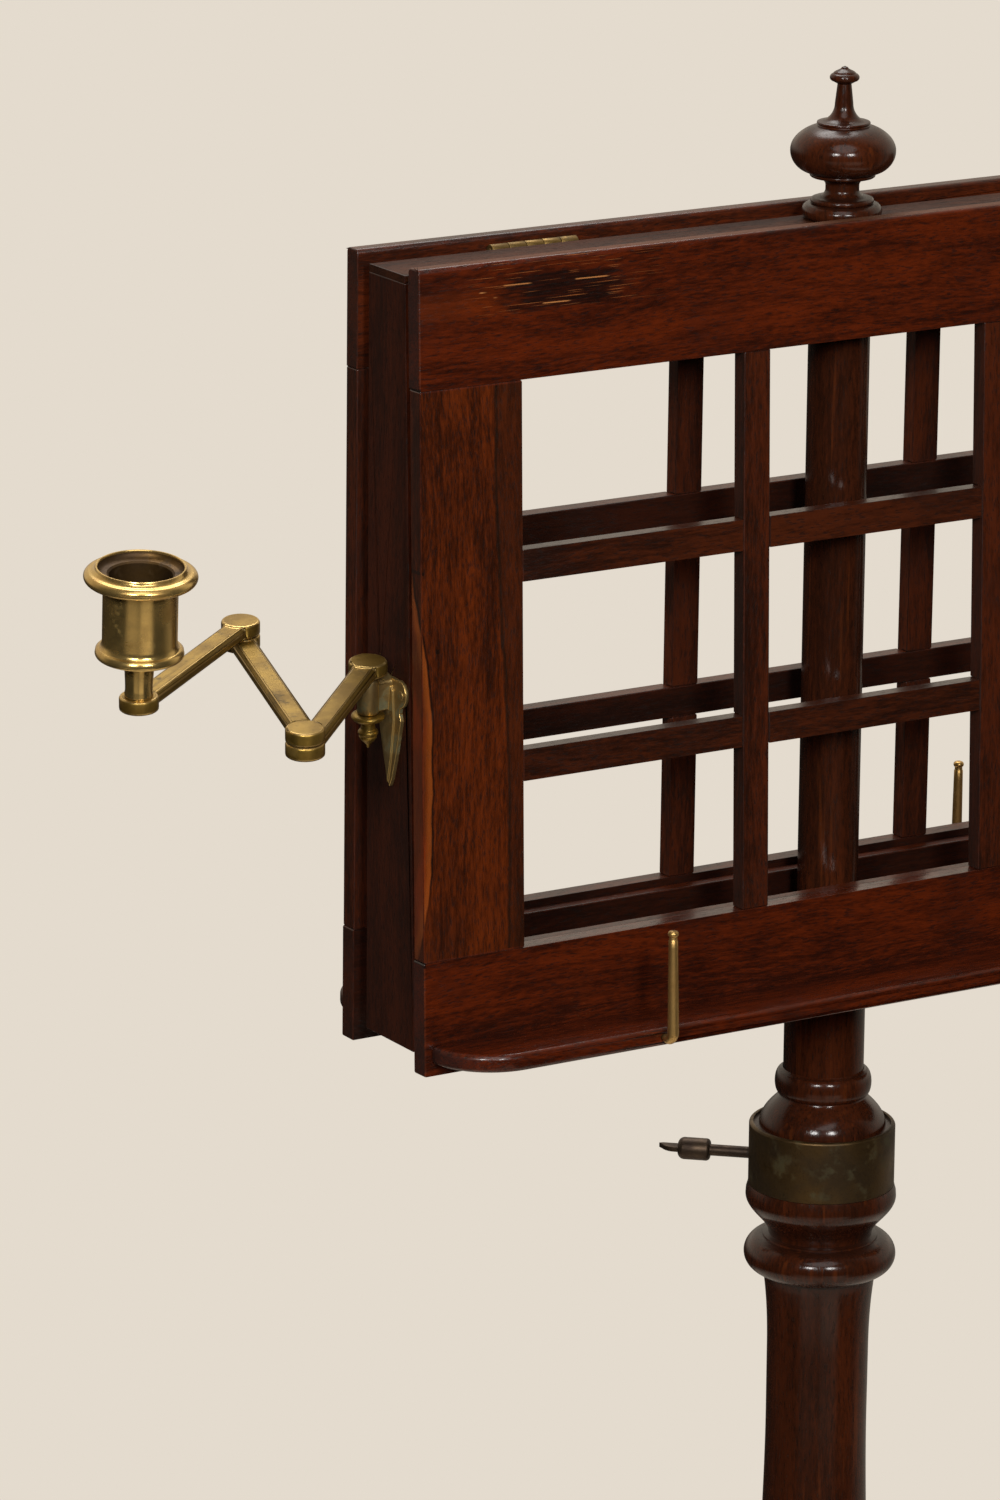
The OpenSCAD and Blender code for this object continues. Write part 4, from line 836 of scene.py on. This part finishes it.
# %% Pole
SLOPE_TOP = 1165.0
frame_top = SLOPE_TOP - 5.5
frame_height, board_thickness, tenon, gap = 385.5, 12.0, 5.0, 0.3
pole_r, post_r, pole_length = 20.7, 15.5, 505.0
shoulder = frame_top - frame_height
post_end = frame_top - board_thickness + tenon - gap
pole_profile = np.vstack([
    points((0, shoulder - pole_length)), arc(pole_r - 2, shoulder - pole_length + 2, 2, -90, 0, 6),
    arc(pole_r - 0.5, shoulder - 0.5, 0.5, 0, 90, 4),
    points((post_r, shoulder), (post_r, post_end), (0, post_end))])
places, faces = lathe(pole_profile)
put("pole_turning", placed(places), faces, turned_dark, "pole", ["pole"])
print("pole shoulder at", shoulder, "mm")

# %% [markdown]
# The finial is the stand's one ornament: a squat vase with a foot of two beads, a pinched waist, a
# rolled shoulder, a tall neck and a button.

# %% Finial
foot, waist, widest, neck_edge, knob = 16.5, 8.45, 26.3, 13.2, 7.4
finial_profile = np.vstack([
    points((0, 0), (15, 0)), arc(foot - 0.5, 4.1, 4.1, -80, 60), points((foot - 0.5, 8.0)),
    arc(foot - 2, 9.3, 1.4, -70, 70, 8), level_then_up(foot - 2.3, 10.9, waist, 15),
    up_then_level(waist, 17, foot - 0.8, 21.2), arc(foot - 1.1, 22.2, 1, -60, 60, 8),
    level_then_up(foot - 0.2, 23.4, widest, 34.2, 1.15, 24),
    up_then_level(widest, 34.6, neck_edge - 0.2, 46.9, 1.4, 24),
    points((neck_edge - 0.4, 47.4), (neck_edge + 0.2, 48.2), (neck_edge, 48.8)),
    level_then_up(neck_edge - 0.4, 49, 4.6, 58), points((3.5, 67.8)),
    arc(knob - 1.9, 71, 1.9, -80, 55, 10), sweep(knob - 1.7, 73, 1.6, 76, 10), points((0, 76.7))])
places, faces = lathe(finial_profile)
put("finial_turning", placed(places, shift(0, 0, frame_top)), faces, turned_dark, "desk",
    ["finial"])
print("finial: widest", round(finial_profile[:, 0].max() * 2, 1), "mm")

# %% [markdown]
# The collar is a bronze band let into the column, so it needs only its outer face, its two edges and
# the inner wall that closes it.

# %% Collar
collar_r, collar_h, collar_wall, collar_z = 37.7, 33.0, 2.2, 654.0
collar_profile = np.vstack([
    points((collar_r - collar_wall, 0), (collar_r - 0.6, 0)), arc(collar_r - 0.6, 0.6, 0.6, -80, 0, 4),
    points((collar_r, collar_h - 1.9)), arc(collar_r - 1.6, collar_h - 1.6, 1.6, 0, 90, 8),
    points((collar_r - collar_wall, collar_h - 0.2))])
places, faces = lathe(collar_profile)
put("collar_band", placed(places, shift(0, 0, collar_z)), faces, metal["collar_bronze"], "base",
    ["collar"])
print("collar:", 2 * collar_r, "mm across")

# %% [markdown]
# The screw goes through the collar and clamps the pole. It has a plain neck and a rounded barrel, and
# is drawn upright before it is laid level and turned to the side where the photo shows it.

# %% Thumb screw
screw_place = shift(0, 0, collar_z + 13) @ spin("Z", 138) @ spin("Y", 90)
inner_end, neck_r, neck_end = 21.2, 3.0, collar_r + 20.4
barrel_r, barrel_end = 5.8, collar_r + 20.4 + 16.8
screw_profile = np.vstack([
    points((0, inner_end), (neck_r, inner_end), (neck_r, neck_end)),
    arc(barrel_r - 2, neck_end + 2, 2, -80, 0, 8),
    arc(barrel_r - 3.4, barrel_end - 3.4, 3.4, 0, 75, 10),
    points((barrel_r - 3.6, barrel_end), (0, barrel_end))])
places, faces = lathe(screw_profile, 64)
put("thumb_screw_barrel", placed(places, screw_place), faces, metal["dark_iron"], "thumb_screw",
    ["thumb_screw"])
print("thumb screw's barrel:", round(barrel_end - neck_end, 1), "mm long")

# %% [markdown]
# The screw's thumb piece is a thin plate, cut to a quarter round at its end. Its rim is eased, because
# fingers have turned it for years. An outline carried through the thickness gives the shape and the
# soft rim together.

# %% Thumb piece
def blade(outline, thickness, edge=0.5, rounds=5):
    """A flat plate from a closed outline: the outline is carried through the thickness and drawn in
    towards its middle by a quarter circle at each face."""
    a = np.pi / 2 * steps(rounds)
    inset = edge * (1 - np.concatenate([np.sin(a), np.cos(a)]))
    flat = thickness / 2 - edge
    height = np.concatenate([-(flat + edge * np.cos(a)), flat + edge * np.sin(a)])
    middle = outline.mean(0)
    out = outline - middle
    size = np.linalg.norm(out, axis=1, keepdims=True)
    rings = [np.c_[middle + out * (1 - s / size), np.full(len(outline), h)] for s, h in zip(inset, height)]
    places = np.vstack(rings)
    count = len(outline)
    ends = [list(range(count))[::-1], list(range(len(places) - count, len(places)))]
    return places, ring_faces(len(rings), count) + ends


# The outline is drawn from the neck's end: a straight root, a quarter round and a blunt tip.
root, half_root = barrel_end - neck_end - 1.5, barrel_r * 0.62
tip = barrel_end - neck_end + 10.4
thumb_outline = np.vstack([points((-half_root, root), (half_root, root)),
                           arc(half_root - 7, root + 3.5, 7, 0, 62, 14),
                           points((-barrel_r * 0.48, tip), (-half_root, tip - 2))])
places, faces = blade(thumb_outline, 2.6)
thumb_place = screw_place @ shift(0, 0, neck_end) @ spin("Z", 90) @ spin("X", 90)
put("thumb_screw_blade", placed(places, thumb_place), faces, metal["dark_iron"], "thumb_screw")
print("thumb screw reaches", round(neck_end + tip, 1), "mm from the axis")

# %% [markdown]
# Three legs curve out and down from the boss. Each is a stack of rings along a smooth curve: a ring is
# a squarish oval, tall and narrow at the boss, and lower and wider at the foot. A curve object with a
# bevel keeps one outline from end to end, so the rings are worked out here, each with its own size.

# %% Legs
LEG_REACH, LEG_TOP, LEG_FOOT, SOLE = 262.0, 155.0, 20.0, 10.0


def leg_surface(rings=64, around=48):
    """Rings of a super-ellipse (cos and sin raised to a power that falls from square to round) along
    a cubic curve that leaves the boss level and arrives level at the foot, cut flat at the sole."""
    t = steps(rings)[:, None]
    s = 1 - t
    bend = LEG_REACH * 0.56
    toe = LEG_REACH + 46 * 0.36
    knots = np.array([[32.0, LEG_TOP], [bend, LEG_TOP], [bend, LEG_FOOT], [toe, LEG_FOOT]])
    centre = np.hstack([s ** 3, 3 * s ** 2 * t, 3 * s * t ** 2, t ** 3]) @ knots
    slope = np.hstack([-3 * s ** 2, 3 * s ** 2 - 6 * s * t, 6 * s * t - 3 * t ** 2, 3 * t ** 2]) @ knots
    slope = slope / np.linalg.norm(slope, axis=1, keepdims=True)
    tall = 10 + (47 - 10) * s ** 2.1 + 2 * t ** 6
    wide = 9.5 + (15 - 9.5) * s ** 1.5 + 7 * t ** 5
    power = 2 / (3 + 9 * s ** 3)
    q = (2 * np.pi * (np.arange(around) + 0.5) / around)[None, :]
    u = wide * np.sign(np.cos(q)) * np.abs(np.cos(q)) ** power
    v = tall * np.sign(np.sin(q)) * np.abs(np.sin(q)) ** power
    x = centre[:, :1] - v * slope[:, 1:]
    z = np.maximum(centre[:, 1:] + v * slope[:, :1], SOLE)
    last = rings * around
    ends = [list(range(around))[::-1], list(range(last, last + around))]
    return np.stack([x, u, z], -1).reshape(-1, 3), ring_faces(rings + 1, around) + ends


leg_places, leg_faces = leg_surface()
for n in range(3):
    wood = mahogany(f"leg_wood_{n + 1}", "Z" if n == 1 else "X", shade(78, 34, 16), shade(38, 16, 9),
                    2.0 + n, gloss=0.28, coat=0.25, board=False)
    put(f"leg_shape_{n + 1}", placed(leg_places, spin("Z", 120 * n)), leg_faces, wood, "base",
        [f"leg_{n + 1}"], crisp=55.0)
print("points on each leg:", len(leg_places))

# %% [markdown]
# Each foot stands on a turned disc, and a turned drop closes the boss from below. The three discs are
# one piece, like the CAD node that they replace.

# %% Foot discs and drop
pad_profile = np.vstack([points((0, 0), (18, 0)), arc(18.9, 4.5, 4, -90, 80), points((17, 10), (0, 10))])
places, faces = lathe(pad_profile, 72)
pads = np.vstack([placed(places, spin("Z", 120 * n) @ shift(LEG_REACH, 0, 0)) for n in range(3)])
pad_faces = [[v + n * len(places) for v in face] for n in range(3) for face in faces]
put("foot_discs", pads, pad_faces, turned_dark, "base", ["foot_pads"])

drop_profile = np.vstack([
    points((0, 59)), arc(0, 65, 6, -89, 40, 12), sweep(4.4, 71, 15, 83), bulge(15, 19, 84, 96),
    points((13, 97)), sweep(13, 98, 22, 103), points((22, 105), (0, 105))])
places, faces = lathe(drop_profile, 72)
put("base_drop_turning", placed(places), faces, turned_dark, "base", ["base_drop"])
print("foot discs:", len(pads), "points")

# %% [markdown]
# The candle arms lean a little on their spindles, and the right one is the left one mirrored. Seen from
# above, three links lead from the bracket to the socket.

# %% Where the candle arms are
ARM_ROOT = (-277.0, -8.1, 969.8)
# Each link: its length and the way it points at rest, in degrees.
LINKS = ((105.5, -136.8), (122.0, 74.8), (106.5, -146.4))


def arm_place(side):
    """From a candle arm's own drawing to the stand's frame."""
    mirror = np.diag([-1.0 if side == "right" else 1.0, 1, 1, 1])
    return mirror @ shift(*ARM_ROOT) @ spin("Y", -4.0) @ spin("X", 6.3)


def reach(length, degrees):
    """A link's far end, seen from above, from its length and the way it points."""
    a = np.radians(degrees)
    return np.array([length * np.cos(a), length * np.sin(a), 0.0])


socket_spot = sum(reach(length, degrees) for length, degrees in LINKS)
print("socket from the bracket:", np.round(socket_spot[:2], 1).tolist(), "mm")

# %% [markdown]
# Each socket is a turned cup: a flared foot flange on a short stem, a plain barrel and a broad drip rim,
# open at the top for the candle. Under the bracket's spindle hangs a small turned pendant.

# %% Profiles of the cup and the pendant
barrel, flange, rim, nozzle, stem, cup_top = 17.9, 21.2, 27.1, 15.2, 6.9, 65.6
lip = barrel + 2.4
cup_outside = np.vstack([
    points((0, 0), (stem, 0), (stem, 1)), sweep(stem - 0.3, 3, stem + 0.2, 17, 10),
    points((stem + 1.4, 19.4), (flange - 3, 20)), arc(flange - 1.8, 21.8, 1.8, -80, 20, 10),
    points((flange - 0.3, 23.7), (flange - 1, 24.4)),
    level_then_up(flange - 1.6, 24.7, barrel, 28.2, 1, 10),
    up_then_level(barrel, cup_top - 10.4, rim - 3.0, cup_top - 8.0, 1, 12),
    arc(rim - 2.7, cup_top - 5.2, 2.7, -75, 62, 16), points((rim - 1.9, cup_top - 2.5)),
    level_then_up(rim - 2.6, cup_top - 2.4, lip + 1.4, cup_top - 0.6, 1, 8),
    points((lip + 1.1, cup_top), (lip + 0.5, cup_top))])
cup_mouth = np.vstack([
    up_then_level(lip + 0.2, cup_top - 0.3, nozzle + 2.6, cup_top - 3.6, 1, 8),
    points((nozzle + 0.9, cup_top - 3.7), (nozzle, cup_top - 4.5)),
    points((nozzle, cup_top - 39), (0, cup_top - 39))])
cup_profile = np.vstack([cup_outside, cup_mouth])
drop_top = -8.5 - 18.8
pendant_profile = np.vstack([
    points((0, drop_top - 18.8), (0.7, drop_top - 18.3)),
    sweep(0.9, drop_top - 17.8, 4.4, drop_top - 12.4, 10),
    arc(3.4, drop_top - 10.4, 1.6, -70, 70, 10), sweep(3.6, drop_top - 8.4, 3.3, drop_top - 5.8, 8),
    sweep(3.4, drop_top - 5.2, 7.4, drop_top - 3.4, 8), arc(7.0, drop_top - 2, 1.3, -80, 80, 10),
    points((6, drop_top - 0.4), (0, drop_top - 0.4))])
print("cup rim across:", 2 * rim, "mm")

# %% [markdown]
# Both profiles are turned and hung on each arm. Mirroring turns a mesh inside out, so the right arm's
# faces are reversed. The cup's mouth and nozzle take a darker metal, which soot and wax have dulled.

# %% Cups and pendants
AROUND = 96
for side in ("left", "right"):
    arm = arm_place(side)
    tilt = shift(socket_spot[0], socket_spot[1], 14.55) @ spin("Y", 1.4) @ spin("X", 0.9)
    for name, profile, finish, move, body, stands in (
            ("candle_cup", cup_profile, metal["cup_brass"], arm @ tilt, f"{side}_outer",
             f"candle_socket_{side}"),
            ("arm_pendant", pendant_profile, metal["arm_brass"], arm, f"{side}_inner", f"arm_drop_{side}")):
        places, faces = lathe(profile, AROUND)
        if side == "right":
            faces = [face[::-1] for face in faces]
        made = put(f"{name}_{side}", placed(places, move), faces, finish, body, [stands])
        if name == "candle_cup":
            inside = len(cup_outside) * AROUND
            made.data.materials.append(metal["cup_inside"])
            made.data.polygons.foreach_set("material_index", [int(n >= inside) for n in range(len(faces))])
print("rings round each cup:", len(cup_profile) - 2)

# %% [markdown]
# Four brass page pins stand at the ledges' front edges and hold the sheets open. Each turns on a short
# foot in the ledge, and ends in a small rounded knob. A pin is one bent rod, so it is made as one tube
# along a bent path, with no seam where it turns into the ledge.

# %% Page pins
def slope_place(side, opened):
    """From a slope's own upright drawing to the stand's frame, turned about its hinge."""
    return (shift(0, 0, SLOPE_TOP) @ spin("Z", 180 if side == "back" else 0) @ shift(0, -20.5, -7)
            @ spin("X", -opened) @ shift(0, 20.5, 7))


def page_pin(height, around=40):
    """A tube swept along a path: down the rod, round a quarter circle of 4.5 mm and into the ledge. Its
    radius narrows towards the knob, which is a groove and a half round, and again at the foot. Each
    ring is (r cos q, y + r sin q cos lean, z + r sin q sin lean) about the path's point."""
    bend, knob, turns = 4.5, height - 5, 12
    a = np.radians(np.linspace(180, 270, turns + 1))
    rod = points((bend, 2.9), (knob - 0.8, 2.35), (knob - 0.3, 2.05), (knob + 0.4, 2.05))
    knob_a = np.radians(np.linspace(-60, 85, 14))
    crown = np.stack([knob + 2.6 + 1.6 * np.sin(knob_a), 1.15 + 1.6 * np.cos(knob_a)], 1)
    upright = np.vstack([rod[:1], np.linspace(rod[0], rod[1], 12)[1:], rod[2:], crown])[::-1]
    path = [(0.0, z, radius, 0.0) for z, radius in upright]
    path += [(bend + bend * np.cos(q), bend + bend * np.sin(q), 2.9 - 0.35 * n / turns, q - np.pi)
             for n, q in enumerate(a[1:], 1)]
    path += [(6.6, 0.0, 2.0, np.pi / 2), (7.0, 0.0, 1.7, np.pi / 2), (19.4, 0.0, 1.7, np.pi / 2)]
    q = np.linspace(0, 2 * np.pi, around, endpoint=False)
    rings = [np.stack([radius * np.cos(q), y + radius * np.sin(q) * np.cos(lean),
                       z + radius * np.sin(q) * np.sin(lean)], 1) for y, z, radius, lean in path]
    faces = ring_faces(len(rings), around)
    last = len(rings) * around
    caps = [list(range(around))[::-1], list(range(last - around, last))]
    return np.vstack(rings), [face[::-1] for face in faces + caps]


# Each slope: how far it hangs open in degrees, its pins' places along the ledge, their height and lift.
PIN_ROWS = {"front": (1.46, (-147.5, 147.5), 57.0, 0.0), "back": (0.35, (147.5, -134.8), 63.2, 3.6)}
for slope, (opened, spots, height, lift) in PIN_ROWS.items():
    for side, x in zip(("left", "right"), spots):
        move = slope_place(slope, opened) @ shift(x, -75.5, -389.4 + lift)
        places, faces = page_pin(height)
        name = f"{slope}_pin_{side}"
        put(f"{slope}_page_pin_{side}", placed(places, move), faces, metal["pin_brass"], name,
            [name])
print("page pin heights:", [row[2] for row in PIN_ROWS.values()], "mm")
